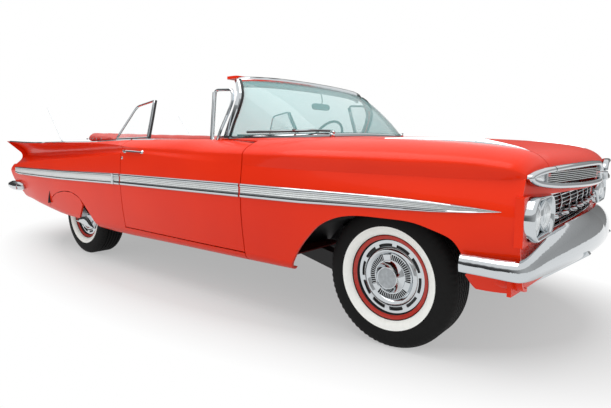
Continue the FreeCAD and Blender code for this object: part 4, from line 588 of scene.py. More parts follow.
stop = trim["insertEnd"]
for word, way in sides.items():
    for panel, (start, end) in trim["spans"].items():
        skin = Skin(panel + "_" + word)
        shape = Shape()
        if start < stop:
            sideStrip(shape, skin, way, start, min(end, stop), trimRows)
        if end > stop:
            # A bright clasp covers the insert's end.
            sideStrip(shape, skin, way, stop + 0.0005, end, plainRows)
            low, high = trimEdges(stop)
            x = skin.side(stop, (low + high) / 2, way, 0.8, trim["skin"])
            shape.box((way * (x - 0.004), stop - 0.012, low + 0.002),
                      (way * (x + 0.012), stop + 0.012, high - 0.002), "chrome")
        shape.piece(panel + "Trim" + word.title(), bodyOf(panel, word))
print("side trim made")


# Nose openings seen from the front: width and height of the lower ring and of the hood's ring.
nostril = {"outer": [(0.7455, 0.8876), (0.8, 0.8835), (0.86, 0.8755), (0.9, 0.866), (0.918, 0.8585),
                     (0.9, 0.848), (0.86, 0.8365), (0.8, 0.8285), (0.695, 0.82), (0.55, 0.8145),
                     (0.4, 0.8105), (0.25, 0.8095), (0.13, 0.8125), (0.096, 0.825), (0.085, 0.8425),
                     (0.0855, 0.8515)],
           "inner": [(0.0862, 0.8615), (0.095, 0.877), (0.12, 0.892), (0.17, 0.9015), (0.32, 0.9025),
                     (0.5, 0.8985), (0.62, 0.8945), (0.7405, 0.8881)],
           "lens": [(0.807, 0.835), (0.86, 0.843), (0.893, 0.8585), (0.86, 0.869), (0.807, 0.877)],
           "half": 0.0115, "lift": 0.0125, "depth": 0.02, "divider": 0.8, "bars": 6,
           "floor": (0.8285, 0.879), "barLow": 0.834, "barHigh": 0.875}
lamps = {"middle": (0.8115, 0.7), "pitch": 0.173, "y": -2.436, "ring": 0.0815, "dome": 0.026,
         "radius": 0.064}
grille = {"half": 0.598, "low": 0.612, "high": 0.779, "plane": -2.42, "bow": 0.04, "bowHalf": 0.93,
          "back": 0.075, "bars": 4, "bulletHeight": 0.672, "dividers": 7, "pitch": 0.186, "fineBars": 3}


def faceLine(x):
    # The nose's bow seen from above: a parabola that is deepest at the middle.
    return grille["plane"] - grille["bow"] * (1 - (x / grille["bowHalf"]) ** 2)


def noseRow(skin, places):
    # Seats points given by width and height on the nose; y is read by width from those that meet it.
    hits = [(x, skin.hit((x, -3, z), (0, 1, 0))) for x, z in places]
    known = sorted((x, hit.y) for x, hit in hits if hit is not None)
    return np.array([(x, np.interp(x, *zip(*known)), z) for x, z in places])


half, lift = nostril["half"], nostril["lift"]
ringOutline = even((half, -0.012), (half, 0.003), (half * 0.75, 0.009), (half * 0.3, lift))
skin = Skin("intake_bezels", "hood_bezels")
for word, way in sides.items():
    lower, upper = (noseRow(skin, curve([(way * x, z) for x, z in nostril[ring]], count)) + (0, 0.004, 0)
                    for ring, count in (("outer", 90), ("inner", 50)))
    shape = Shape()
    shape.sweep(lower, ringOutline, up=(0, -1, 0))
    # The divider, then the parking lamp's lens: a rim, its crown and a flat back
    x = way * nostril["divider"]
    y = noseRow(skin, [(x, 0.83), (way * 0.85, 0.83), (way * 0.88, 0.84)])[:, 1]
    shape.sweep([(x, y[0] + 0.006, z) for z in (0.829, 0.857, 0.884)],
                mm((-6, -30), (-6, 3), (0, 8), (6, 3), (6, -30)), up=(0, -1, 0))
    rim = noseRow(skin, [(way * a, b) for a, b in nostril["lens"]])
    front = np.concatenate((rim + (0, 0.008, 0), [(way * 0.845, y[1] - 0.002, 0.857)], rim + (0, 0.03, 0)))
    turn = [(i, (i + 1) % 5) for i in range(5)]
    fan = [(i, k, 5) for i, k in turn] + [(i, i + 6, k + 6, k) for i, k in turn] + [tuple(range(10, 5, -1))]
    shape.add(front, fan, "lampGlass")
    shape.piece("intakeRing" + word.title(), replaces=["intake_bezels"])
    shape = Shape()
    shape.sweep(upper, ringOutline, up=(0, -1, 0))
    shape.piece("hoodRing" + word.title(), "hood", "chrome", ["hood_bezels"])
    # A near-black wall deep in the slot, painted shade of the intake's inside, with thin bars in front of it
    base = noseRow(skin, [(way * a, 0.83) for a in np.linspace(0.096, 0.792, 24)])
    shape = Shape()
    wall = np.array([[(x, y + nostril["depth"], z) for x, y, _ in base] for z in nostril["floor"]])
    shape.slab(wall, wall + (0, 0.004, 0), "slotBlack")
    low, high = nostril["barLow"], nostril["barHigh"]
    for i in range(nostril["bars"]):
        z = low + (high - low) * i / (nostril["bars"] - 1)
        shape.sweep([(x, y + nostril["depth"] * 0.55, z) for x, y, _ in base],
                    mm((-6, -1.2), (6, -1.2), (6, 1.2), (-6, 1.2)), "insert")
    shape.piece("intakeMesh" + word.title())
print("intakes made")


def ovalPath(radius, y):
    # A racetrack: two half circles whose centres stand one lamp pitch apart.
    (x, z), reach = lamps["middle"], lamps["pitch"] / 2
    turn = np.linspace(-math.pi / 2, math.pi / 2, 24)
    return np.array([(x + way * (reach + radius * math.cos(a)), y, z + way * radius * math.sin(a))
                     for way in (1, -1) for a in turn])


for word, way in sides.items():
    shape, glass = Shape(), Shape()
    shape.sweep(ovalPath(lamps["ring"], lamps["y"]),
                mm((-10.5, -22), (-12.5, 4), (-11.5, 20), (-7.5, 31), (-2, 35.5), (3, 32), (6.5, 20),
                   (8.5, 6), (8.5, -22)), up=(0, -1, 0), closed=True)
    plate = ovalPath(lamps["ring"] - 0.006, lamps["y"] - 0.004)
    shape.stack((plate, plate + (0, 0.006, 0)), "chrome")
    r = lamps["radius"]
    for step in (-0.5, 0.5):
        centre = (lamps["middle"][0] + step * lamps["pitch"], lamps["y"] - 0.006, lamps["middle"][1])
        shape.lathe(centre, (0, -1, 0), [(r + 0.0005, -0.004), (r + 0.001, 0.008), (r + 0.004, 0.014),
                                         (r + 0.0085, 0.011), (r + 0.0105, 0.0), (r + 0.0105, -0.004)])
        glass.lathe(centre, (0, -1, 0), [(0, lamps["dome"]), (r * 0.3, 0.0245), (r * 0.6, 0.0195),
                                         (r * 0.82, 0.0125), (r * 0.95, 0.005), (r, -0.002), (r, -0.003),
                                         (0, -0.003)], "lampGlass")
    if way < 0:
        shape.flip()
        glass.flip()
    shape.piece("lampBezels" + word.title(), replaces=["headlamp_bezels"], sharp=75)
    glass.piece("lampLenses" + word.title(), "car_body", "lamp_glass", ["headlamps"])
print("headlamps made")


def bowedBar(low, tall, setback, depth, coat="chrome", inset=0.0):
    # A bar that follows the nose's bow.
    reach, deep = grille["half"] - inset, depth / 2
    shape.sweep([(x, faceLine(x) + setback, 0) for x in np.linspace(-reach, reach, 41)],
                [(-deep, low), (deep - 0.002, low), (deep, low + tall * 0.3), (deep, low + tall * 0.7),
                 (deep - 0.002, low + tall), (-deep, low + tall)], coat)


shape = Shape()
low, high, bullets = grille["low"], grille["high"], grille["bulletHeight"]
top = high - 0.012
# A near-black sheet behind the bars: painted shade of the grille's inside.
bowedBar(low + 0.002, high - low - 0.002, grille["back"], 0.004, "slotBlack")
for i in range(grille["bars"]):
    bowedBar(bullets + 0.016 + (top - bullets - 0.016) * i / grille["bars"], 0.006, 0.03, 0.02, inset=0.004)
bowedBar(top, 0.013, 0.022, 0.034)
bowedBar(bullets - 0.006, 0.012, 0.026, 0.03)
for i in range(grille["fineBars"]):
    bowedBar(low + 0.012 + (bullets - low - 0.018) * i / grille["fineBars"], 0.004, 0.032, 0.014,
             inset=0.004)
bowedBar(low, 0.007, 0.022, 0.03)
for i in range(grille["dividers"]):
    # An upright over a bullet over a short post
    x = (i - (grille["dividers"] - 1) / 2) * grille["pitch"]
    y = faceLine(x)
    rise = [(x, y + 0.022 - 0.012 * math.sin(math.pi * t), bullets + (top - bullets) * t)
            for t in np.linspace(0, 1, 9)]
    shape.sweep(rise, mm((-3.5, -12), (3.5, -12), (3.5, 1), (1.5, 3), (-1.5, 3), (-3.5, 1)), up=(0, -1, 0))
    shape.box((x - 0.004, y + 0.014, low), (x + 0.004, y + 0.05, bullets), "chrome")
    shape.lathe((x, y + 0.012, bullets), (0, -1, 0),
                mm((0, 36), (4, 35), (9, 29), (13, 18), (14.5, 6), (14.5, -2), (11.5, -6), (11.5, -20),
                   (0, -20)), steps=20)
shape.piece("grilleWork", replaces=["grille"])
print("grille made")


# Windshield lines in metres, from the cowl's corner over the post to the header's middle, on the car's left.
screen = {"post": [(0.79, -0.585, 1.016), (0.786, -0.625, 1.11), (0.778, -0.66, 1.19), (0.76, -0.672, 1.27),
                   (0.738, -0.64, 1.345), (0.712, -0.598, 1.382)],
          "header": [(0.712, -0.598, 1.382), (0.65, -0.63, 1.391), (0.54, -0.668, 1.397),
                     (0.4, -0.69, 1.401), (0.2, -0.702, 1.404), (0, -0.706, 1.405)],
          "foot": [(0.775, -0.66, 1.02), (0.735, -0.85, 1.02), (0.62, -1.05, 1.028), (0.45, -1.15, 1.036),
                   (0.25, -1.2, 1.041), (0, -1.212, 1.043)],
          "band": 0.021, "drop": 0.05}


def wholeLine(points, count):
    # A left-hand line that ends at the middle, joined with its mirror image.
    points = np.asarray(points)
    return curve(np.concatenate((points, points[-2::-1] * (-1, 1, 1))), count)


shape = Shape()
header, foot = wholeLine(screen["header"], 61), wholeLine(screen["foot"], 81)
band, drop = screen["band"], screen["drop"]
shape.sweep(header, even((band, -0.008), (band, 0.004), (band * 0.6, 0.0095)), up=(0, -0.35, 1))
shape.sweep(header + (0, -0.004, 0.0105), circle(0.006, 8), "rubber")
shape.sweep(header[3:-3] + (0, 0.022, 0), [(-0.012, -0.012), (0.012, -0.012), (0.016, -drop * 0.8),
                                           (0.008, -drop), (-0.008, -drop), (-0.014, -drop * 0.7)],
            "headerMetal")
for way in sides.values():
    post = curve(screen["post"], 40) * (way, 1, 1) + (way * 0.005, 0.006, 0)
    shape.sweep(post, mm((-24, -14), (-24, 4), (-16, 12.5), (14, 12.5), (22, 4), (22, -14)), up=(way, 0, 0),
                grow=[(1.15 - 0.35 * t, 1) for t in np.linspace(0, 1, 40)])
    shape.sweep(post + (way * 0.002, -0.029, 0.002), circle(0.008, 8), "rubber", (way, 0, 0))
    shape.box((way * 0.752, -0.69, 1.0165), (way * 0.838, -0.545, 1.023), "chrome", 0.012)
shape.sweep(foot + (0, -0.006, 0.001), even(*mm((11, -10), (11, 2), (6, 7.5))))
shape.sweep(foot + (0, 0.006, 0.009), circle(0.0045, 8), "rubber")
shape.piece("windshieldTrim")

# Sun visors folded up behind the header, and the padded corners of the top's header
shape = Shape()
share = np.linspace(0, 1, 16)
for way in sides.values():
    line = [(way * x, -0.565 - 0.07 * (1 - (x / 0.64) ** 2), 1.3965) for x in np.linspace(0.1, 0.63, 16)]
    grow = np.stack((np.minimum(1, 0.6 + np.minimum(share, 1 - share) * 4), np.ones(16)), -1)
    shape.sweep(line, mm((-55, -6), (-50, -9), (50, -9), (55, -6), (55, 6), (50, 9), (-50, 9), (-55, 6)),
                "visorGrey", grow=grow)
    shape.box((way * 0.64, -0.6, 1.392), (way * 0.73, -0.5, 1.4095), "paint", 0.01)
    shape.rod((way * 0.12, -0.63, 1.392), (way * 0.62, -0.575, 1.388), 0.004, "chrome", 8)
shape.piece("sunVisors", "car_body", "seat_leather")

# Side windows: outlines by place along the car and height, on a plane that leans inward: height, width.
panes = {"vent": [(-0.548, 0.985), (-0.505, 0.985), (-0.45, 1.312), (-0.472, 1.322), (-0.606, 1.315),
                  (-0.622, 1.288), (-0.631, 1.24), (-0.607, 1.16), (-0.566, 1.06)],
         "ventLean": [(1.005, 0.856), (1.32, 0.786)],
         "quarter": [(0.2, 1.012), (0.2695, 1.284), (0.286, 1.2885), (0.478, 1.2555), (0.506, 1.232),
                     (0.647, 1.0)],
         "quarterLean": [(1.0, 0.866), (1.29, 0.76)], "glass": 0.0022, "corner": 0.02}


def paneLine(outline, name, way, out):
    # Width follows height in a straight line between the lean's two heights.
    (lowZ, lowX), (highZ, highX) = panes[name + "Lean"]
    y, z = np.asarray(outline, float).T
    return np.stack((way * (lowX + (highX - lowX) * (z - lowZ) / (highZ - lowZ) + out), y, z), -1)


def makePane(shape, name, way, out, width, thick):
    # Flat glass with a frame bar along its edge; a quadratic curve rounds each corner.
    outline = np.array(panes[name])
    rounded = []
    for before, at, after in zip(np.roll(outline, 1, 0), outline, np.roll(outline, -1, 0)):
        one, two = (at + (end - at) * min(0.25, panes["corner"] / np.linalg.norm(end - at))
                    for end in (before, after))
        rounded += [(1 - t) ** 2 * one + 2 * t * (1 - t) * at + t * t * two for t in (0.0, 0.5, 1.0)]
    line = paneLine(rounded, name, way, out)
    shape.sweep(line, [(-width, -thick), (width, -thick), (width, thick * 0.4), (width * 0.4, thick),
                       (-width * 0.4, thick), (-width, thick * 0.4)], up=(way, 0, 0), closed=True)
    shape.stack((line - (panes["glass"], 0, 0), line + (panes["glass"], 0, 0)), "sideGlass")


for word, way in sides.items():
    shape = Shape()
    makePane(shape, "vent", way, -0.007, 0.0085, 0.0075)
    shape.sweep(paneLine([(-0.497, 0.985), (-0.468, 1.15), (-0.441, 1.308)], "vent", way, -0.007),
                mm((-11, -7), (11, -7), (11, 4), (5, 7.5), (-5, 7.5), (-11, 4)), up=(way, 0, 0))
    shape.piece("ventWindow" + word.title(), "door_" + word, "clear_glass", ["vent_window_" + word])
shape = Shape()
for way in sides.values():
    makePane(shape, "quarter", way, -0.006, 0.007, 0.006)
    front = paneLine([(0.198, 1.0), (0.231, 1.15), (0.2655, 1.289)], "quarter", way, -0.006)
    for shift, half, low, high, coat in ((-0.008, 0.006, -0.006, 0.006, "rubber"),
                                         (0.016, 0.01, -0.007, 0.005, "chrome")):
        shape.sweep(front + (0, shift, 0), [(-half, low), (half, low), (half, high), (-half, high)], coat,
                    (way, 0, 0))
    sunk = paneLine([(0.41, 0.905), (0.66, 0.905), (0.655, 1.004), (0.41, 1.004)], "quarter", way, -0.006)
    shape.stack((sunk - (0.002, 0, 0), sunk + (0.002, 0, 0)), "sideGlass")
shape.piece("quarterGlass", "car_body", "clear_glass", ["quarter_windows"])
print("glass made")


belt = {"inset": 0.812, "half": 0.012, "rise": 0.0075,
        "spans": {"door": (-0.54, 0.345), "quarter": (0.363, 0.62)}}
fin = {"half": 0.0085, "rise": 0.005, "spans": {"door": (0.1, 0.345, 12), "quarter": (0.363, 2.5, 70)},
       "low": 0.8, "high": 1.05, "widest": 0.86, "halvings": 14}
spear = {"x": 0.76, "tail": -1.709, "step": -2.168, "tip": -2.385, "half": 0.017, "rise": 0.021}


def finEdge(skin, y, way):
    # The highest level line from outside that still meets the skin near its widest place.
    low, high = fin["low"], fin["high"]
    for _ in range(fin["halvings"]):
        middle = (low + high) / 2
        if skin.side(y, middle, way, fin["widest"]):
            low = middle
        else:
            high = middle
    found = skin.side(y, low - 0.001, way)
    return None if found is None else (way * found, y, low)


for word, way in sides.items():
    for panel, (start, end) in belt["spans"].items():
        skin = Skin(panel + "_" + word)
        shape = Shape()
        x, half, rise = way * belt["inset"], belt["half"], belt["rise"]
        path = [(x, y, skin.top(x, y)) for y in np.linspace(start, end, 24)]
        shape.sweep([spot for spot in path if spot[2] is not None],
                    even((half, -0.003), (half, rise * 0.5), (half * 0.5, rise)))
        edge = [finEdge(skin, y, way) for y in np.linspace(*fin["spans"][panel])]
        edge = np.array([spot for spot in edge if spot is not None])
        if panel == "door":
            # The edging starts with a hook that bends down and back.
            hook = [(way * 0.001, -0.045, -0.034), (way * 0.002, -0.04, -0.014),
                    (way * 0.001, -0.018, -0.002)]
            edge = np.concatenate((edge[0] + hook, edge))
        half, rise = fin["half"], fin["rise"]
        shape.sweep(edge + (way * 0.0015, 0, 0.001), [(-half, -rise), (-half * 0.4, rise * 0.8),
                                                      (half * 0.5, rise), (half, 0), (half * 0.8, -rise)])
        shape.piece(panel + "Edge" + word.title(), bodyOf(panel, word))
print("edges made")

# Spears along the fenders' inner crowns: a shaft that widens to a step, then a head that runs to a point
shape = Shape()
half, rise = spear["half"], spear["rise"]
outline = even((half, 0), (half * 0.9, rise * 0.35), (half * 0.2, rise))
for word, way in sides.items():
    skin = Skin("fender_" + word, "hood")
    for start, end, first, last in ((spear["tail"], spear["step"], (0.25, 0.25), (1.0, 1.0)),
                                    (spear["step"] + 0.004, spear["tip"], (1.25, 1.2), (0.08, 0.15))):
        path = [(way * spear["x"], y, (skin.top(way * (spear["x"] + 0.004), y) or 0.97) - 0.002)
                for y in np.linspace(start, end, 24)]
        shape.sweep(path, outline, grow=np.linspace(first, last, 24))
shape.piece("fenderSpears")

# Door handles with a push button, and the lock below
handle = {"front": 0.062, "rear": 0.321, "height": 0.907, "button": 0.335, "lock": 0.862}
for word, way in sides.items():
    skin = Skin("door_" + word)
    shape = Shape()
    share, z = np.linspace(0, 1, 26), handle["height"]
    base = skin.side(handle["rear"], z, way, 0.8, 0.98)
    path = np.stack((way * (base + 0.006 + 0.014 * np.sin(math.pi * share) ** 0.6),
                     np.linspace(handle["front"], handle["rear"], 26), z + 0.006 * share), -1)
    shape.sweep(path, mm((-8, -5), (-3, 5.5), (4, 5.5), (9, 0), (5, -6)), up=(way, 0, 0),
                grow=np.clip(np.sin(math.pi * np.clip(share * 0.9 + 0.06, 0, 1)) ** 0.5, 0.15, 1))
    spots = [(y, z, 0.002, [(0, 0.014), (0.008, 0.013), (0.012, 0.004), (0.015, 0), (0.015, -0.003),
                            (0, -0.003)])
             for y in (handle["front"] + 0.018, handle["rear"] - 0.02)]
    spots += [(y, height, 0.001, [(0, 0.007), (r * 0.5, 0.0068), (r * 0.9, 0.004), (r, 0), (r, -0.003),
                                  (0, -0.003)])
              for y, height, r in ((handle["button"], z + 0.006, 0.0095),
                                   (handle["button"] - 0.004, handle["lock"], 0.011))]
    for y, height, sunk, outline in spots:
        x = skin.side(y, height, way, 0.8, base)
        shape.lathe((way * (x - sunk), y, height), (way, 0, 0), outline, steps=20)
    shape.piece("handle" + word.title(), "door_" + word, "chrome", ["door_handle_" + word])

# Antennas on the fins, wipers and the mirror
shape = Shape()
foot = np.array((0.764, 1.783, Skin("quarter_left").top(0.764, 1.783)))
mast = np.array((0.764, 2.1, 1.3)) - foot
shape.lathe(foot, mast, mm((21, -8), (21, 2), (15, 8), (8, 20), (5.5, 45), (4, 50), (0, 50), (0, -8)),
            steps=24)
for start, end, radius in ((0.04, 0.2, 0.0042), (0.19, 0.42, 0.0034), (0.41, 0.995, 0.0028)):
    shape.rod(foot + mast * start, foot + mast * end, radius, "chrome", 8)
shape.lathe(foot + mast * 0.99, mast, mm((0, -4), (3, -2), (4, 2), (3, 6), (0, 8)), steps=12)
shape.mirror()
shape.piece("antennaPair", replaces=["antennas"])

wiper = {"pivot": (0.45, -1.159, 1.04), "elbow": (0.6, -1.094, 1.063),
         "blade": [(0.47, -1.158, 1.062), (0.55, -1.118, 1.062), (0.62, -1.077, 1.058),
                   (0.69, -0.99, 1.0545), (0.735, -0.882, 1.052), (0.775, -0.74, 1.05)]}
shape = Shape()
pivot, elbow = np.array(wiper["pivot"]), np.array(wiper["elbow"])
blade = curve(wiper["blade"], 30)
shape.lathe(pivot, (-0.25, -0.45, 1), mm((22, -16), (22, -2), (17, 4), (12, 6), (12, 16), (7, 22), (0, 23),
                                         (0, -16)), steps=24)
shape.sweep([pivot + (0, 0, 0.016), pivot * 0.6 + elbow * 0.4 + (0, -0.002, 0.014), elbow + (0, 0, 0.004)],
            mm((-6, -2), (6, -2), (5, 3), (-5, 3)), grow=[1, 0.8, 0.6])
shape.sweep(blade, mm((-4, 0), (4, 0), (3, 5), (-3, 5)))
shape.sweep(blade + (0, 0.001, -0.004), mm((-2, -5), (2, -5), (3, 5), (-3, 5)), "rubber")
shape.box(blade[15] + (-0.012, -0.008, 0.002), blade[15] + (0.012, 0.008, 0.01), "chrome", 0.003)
shape.mirror()
shape.piece("wiperPair", replaces=["wipers"])

mirror = {"centre": (0, -0.722, 1.253), "half": 0.105, "tall": 0.024, "thick": 0.009, "power": 0.35,
          "tallPower": 0.6}
shape = Shape()
centre, thick = np.array(mirror["centre"]), mirror["thick"]
u, v = circle(1, 40).T
rim = np.stack((mirror["half"] * np.sign(u) * abs(u) ** mirror["power"], np.zeros(40),
                mirror["tall"] * np.sign(v) * abs(v) ** mirror["tallPower"]), -1)
steps = ((0.75, 0.55, -1), (0.95, 0.88, -0.7), (1, 1, -0.1), (1, 1, 0.7), (0.97, 0.9, 1))
shape.stack([rim * (wide, 1, tall) + centre + (0, thick * deep, 0) for wide, tall, deep in steps],
            "mirrorBack")
stem = curve([centre + (0, -0.004, 0.012), centre + (0, -0.01, 0.05), centre + (0, 0.004, 0.1),
              (0, -0.7, 1.392)], 16)
shape.sweep(stem, circle(0.0042, 8), up=(1, 0, 0))
shape.piece("mirrorInside", replaces=["rear_mirror"])
print("small bright parts made")


# Cushions swell from a slightly smaller closed block between two corners. Lean is back per rise, and front
# is the axis that the padded face looks along: 1 forward, 2 up.
seats = {
    "frontSeatBase": {"low": (-0.676, -0.366, 0.343), "high": (0.676, 0.052, 0.452), "lean": 0, "front": 2},
    "frontBackLeft": {"low": (0.014, 0.064, 0.475), "high": (0.676, 0.178, 0.904), "lean": 0.2, "front": 1},
    "frontBackRight": {"low": (-0.676, 0.064, 0.475), "high": (-0.014, 0.178, 0.904), "lean": 0.2,
                       "front": 1},
    "rearSeatBase": {"low": (-0.587, 0.562, 0.551), "high": (0.587, 0.875, 0.628), "lean": 0, "front": 2},
    "rearSeatBack": {"low": (-0.587, 0.906, 0.62), "high": (0.587, 0.992, 1.026), "lean": 0.12, "front": 1},
}
padding = {"voxel": 0.013, "cap": 0.016, "pressure": 4.0, "steps": 20, "round": 0.035, "pull": 0.012,
           "channel": 0.078, "channelDeep": 0.007, "channelWide": 0.009, "border": 0.11,
           "rail": 0.86, "welt": 0.0045}


def softBlock(shape, low, high, lean, coat, cells=26):
    # A rounded box: each point of a cube's grid goes to the inner box plus a radius. Sides pull in between
    # the corners.
    middle, half = (low + high) / 2, (high - low) / 2
    radius = min(padding["round"], half.min() * 0.9)
    a, b = np.meshgrid(np.linspace(-1, 1, cells), np.linspace(-1, 1, cells), indexing="ij")
    for axis in range(3):
        for end in (-1, 1):
            cube = np.empty((cells, cells, 3))
            cube[..., axis], cube[..., (axis + 1) % 3], cube[..., (axis + 2) % 3] = end, a, b
            core = np.clip(cube * half, radius - half, half - radius)
            place = core + radius * unit(cube * half - core)
            inside = 1 - (place / half) ** 2
            place[..., 0] -= np.sign(place[..., 0]) * padding["pull"] * inside[..., 1] * inside[..., 2]
            place += middle
            place[..., 1] += lean * (place[..., 2] - low[2])
            shape.add(place, gridFaces(cells, cells), coat)


def bake(thing):
    # Keeps what the modifiers make of the mesh.
    mesh = bpy.data.meshes.new_from_object(thing.evaluated_get(bpy.context.evaluated_depsgraph_get()))
    thing.modifiers.clear()
    thing.data = mesh


def readList(items, word):
    # One row of three numbers for each item.
    values = np.empty(len(items) * 3)
    items.foreach_get(word, values)
    return values.reshape(-1, 3)


def movePoints(mesh, places):
    # Puts every corner at its new place.
    mesh.vertices.foreach_set("co", places.ravel())
    mesh.update()


def swell(thing, voxel, cap, words):
    # Voxel skin, cloth under pressure with no gravity, each point held within the cap, then one subdivision.
    remesh = thing.modifiers.new("voxels", "REMESH")
    remesh.mode = "VOXEL"
    remesh.voxel_size = voxel
    bake(thing)
    start = readList(thing.data.vertices, "co")
    cloth = thing.modifiers.new("swell", "CLOTH")
    cloth.settings.use_pressure = True
    cloth.settings.uniform_pressure_force = padding["pressure"]
    cloth.settings.effector_weights.gravity = 0
    cloth.collision_settings.use_collision = False
    for step in range(padding["steps"]):
        bpy.context.scene.frame_set(step + 1)
    bake(thing)
    bpy.context.scene.frame_set(1)
    moved = readList(thing.data.vertices, "co") - start
    reach = np.linalg.norm(moved, axis=1, keepdims=True)
    movePoints(thing.data, start + moved * np.minimum(1, cap / np.maximum(reach, 1e-9)))
    soften = thing.modifiers.new("soften", "SUBSURF")
    soften.levels = soften.render_levels = 1
    bake(thing)
    thing.data.materials.clear()
    for word in words:
        thing.data.materials.append(finishes[word])
    thing.data.polygons.foreach_set("use_smooth", [True] * len(thing.data.polygons))


def sink(mesh, depth):
    # Pushes each point in along its normal; depth is worked out from place and normal.
    points, normals = readList(mesh.vertices, "co"), readList(mesh.vertex_normals, "vector")
    movePoints(mesh, points - normals * depth(points, normals)[:, None])


def makeSeat(name, low, high, lean, front):
    low, high = np.array(low), np.array(high)
    middle, half = (low + high) / 2, (high - low) / 2
    across = 3 - front
    shape = Shape()
    softBlock(shape, low, high, lean, "redLeather")
    thing = shape.piece(name, "car_body", "seat_leather", ["rear_seat" if "rear" in name else "front_seat"])
    swell(thing, padding["voxel"], padding["cap"], ["redLeather", "seatCloth"])
    mesh, rail, within = thing.data, padding["rail"], half[0] - padding["border"]

    def facing(normals):
        return normals[:, 2] if front == 2 else -normals[:, 1]

    def channels(points, normals):
        # Channels run from front to back, or from top to bottom, between the borders. Across a channel the
        # depth falls off as e to the minus square of gap over width.
        pitch, wide = padding["channel"], padding["channelWide"]
        u = points[:, 0] - middle[0]
        v = np.abs(points[:, across] - middle[across]) / half[across]
        gap = np.abs((u / pitch) % 1 - 0.5) * pitch
        line = np.exp(-(gap / wide) ** 2) * (np.abs(u) < within) * np.clip((rail - v) * 8, 0, 1)
        edge = np.exp(-((np.abs(u) - within) / wide) ** 2) * (v < rail)
        ends = np.exp(-((v - rail) * half[across] / wide) ** 2) * (np.abs(u) < within)
        face = np.clip(facing(normals), 0, 1) ** 2
        return padding["channelDeep"] * face * np.maximum(np.maximum(line, edge), ends)

    sink(mesh, channels)
    centre, normals = (readList(mesh.polygons, word) for word in ("center", "normal"))
    u, v = (np.abs(centre[:, k] - middle[k]) for k in (0, across))
    inside = (u < within) & (v < half[across] * rail) & (facing(normals) > 0.3)
    if front == 1:
        inside |= centre[:, 2] > high[2] - 0.035
    mesh.polygons.foreach_set("material_index", inside.astype(int))
    mesh.update()
    # The welt runs round the padded face, where level lines from outside meet the skin.
    tree = BVHTree.FromPolygons(readList(mesh.vertices, "co").tolist(),
                                [list(face.vertices) for face in mesh.polygons])
    line = []
    for u, v in np.sign(circle(1, 160)) * np.abs(circle(1, 160)) ** 0.3:
        aim, way = middle.copy(), np.zeros(3)
        aim[0] += u * half[0] * 0.9
        aim[across] += v * half[across] * 0.8
        way[0], way[across] = u * half[across], v * half[0] * 0.5
        aim[front] = high[2] - 0.012 if front == 2 else low[1] + lean * (aim[2] - low[2]) + 0.012
        found = tree.ray_cast(Vector(aim + unit(way) * 0.3), Vector(-unit(way)))[0]
        if found is not None:
            line.append(tuple(found))
    welt = Shape()
    welt.sweep(line, circle(padding["welt"], 8), "redLeather", (0, 0, 1) if front == 2 else (0, 1, 0),
               closed=True)
    welt.piece(name + "Welt", "car_body", "seat_leather")


for name, values in seats.items():
    makeSeat(name, **values)
print("seats made")

# The folded top lies under a puffed cover, a U round the rear seat.
boot = {"inner": [(0.655, 0.722), (0.655, 0.9), (0.65, 1.03), (0.6, 1.1), (0.4, 1.105), (0, 1.105)],
        "outer": [(0.866, 0.722), (0.866, 0.92), (0.85, 1.08), (0.79, 1.26), (0.62, 1.37), (0.35, 1.39),
                  (0, 1.395)],
        "low": (0.982, 0.992), "top": 1.04, "voxel": 0.0125, "cap": 0.01, "fold": 0.0035, "seam": 0.004,
        "floor": 0.974, "count": 161}
count = boot["count"]
innerLine, outerLine = (wholeLine([(x, y, 0) for x, y in boot[word]], count)[:, :2]
                        for word in ("inner", "outer"))
share = np.linspace(0, 1, 15)
plan = innerLine[:, None] * (1 - share[None, :, None]) + outerLine[:, None] * share[None, :, None]
base = boot["low"][0] + (boot["low"][1] - boot["low"][0]) * share
ends = np.sqrt(np.clip(np.minimum(np.arange(count), np.arange(count)[::-1]) / 9, 0.05, 1))
top = base + (boot["top"] - base) * (1 - np.abs(2 * share - 1) ** 4) ** 0.5 * ends[:, None]
shape = Shape()
shape.slab(np.dstack((plan, top)), np.dstack((plan, np.broadcast_to(base - 0.003, top.shape))), "bootVinyl")
folded = shape.piece("topBootCover", "car_body", "boot_cover", ["top_boot"])
swell(folded, boot["voxel"], boot["cap"], ["bootVinyl"])


def bootFolds(points, normals):
    # Loose folds across the cover and one sewn seam along its middle.
    x, y = points[:, 0], points[:, 1]
    along = np.where(y > 1.1, x, y)
    folds = np.sin(along * 21 + 2.2 * np.sin(y * 17 + x * 5)) * np.sin(x * 11 + 1.3 * np.sin(y * 23))
    arm = np.exp(-((np.abs(x) - 0.765) / 0.006) ** 2) * (y < 1.05)
    back = np.exp(-((y - 1.25) / 0.006) ** 2) * (np.abs(x) < 0.62)
    return np.clip(normals[:, 2], 0, 1) * (boot["fold"] * folds + boot["seam"] * np.maximum(arm, back))


sink(folded.data, bootFolds)
# The cover's underside stays above the deck, which rises towards the sides.
places = readList(folded.data.vertices, "co")
deck = boot["floor"] + 0.012 * np.clip((np.abs(places[:, 0]) - 0.7) / 0.16, 0, 1)
places[:, 2] = np.maximum(places[:, 2], deck)
movePoints(folded.data, places)
shape = Shape()
for line, shift in ((innerLine, 0.006), (outerLine, -0.008)):
    for x, y in line[6:-6:6]:
        shape.lathe((x, y + (shift if abs(x) < 0.6 else 0), 0.995), (0, 0, 1),
                    mm((0, 12), (5, 10), (6, 0), (0, 0)), steps=8)
shape.piece("bootSnaps")
print("top cover made")

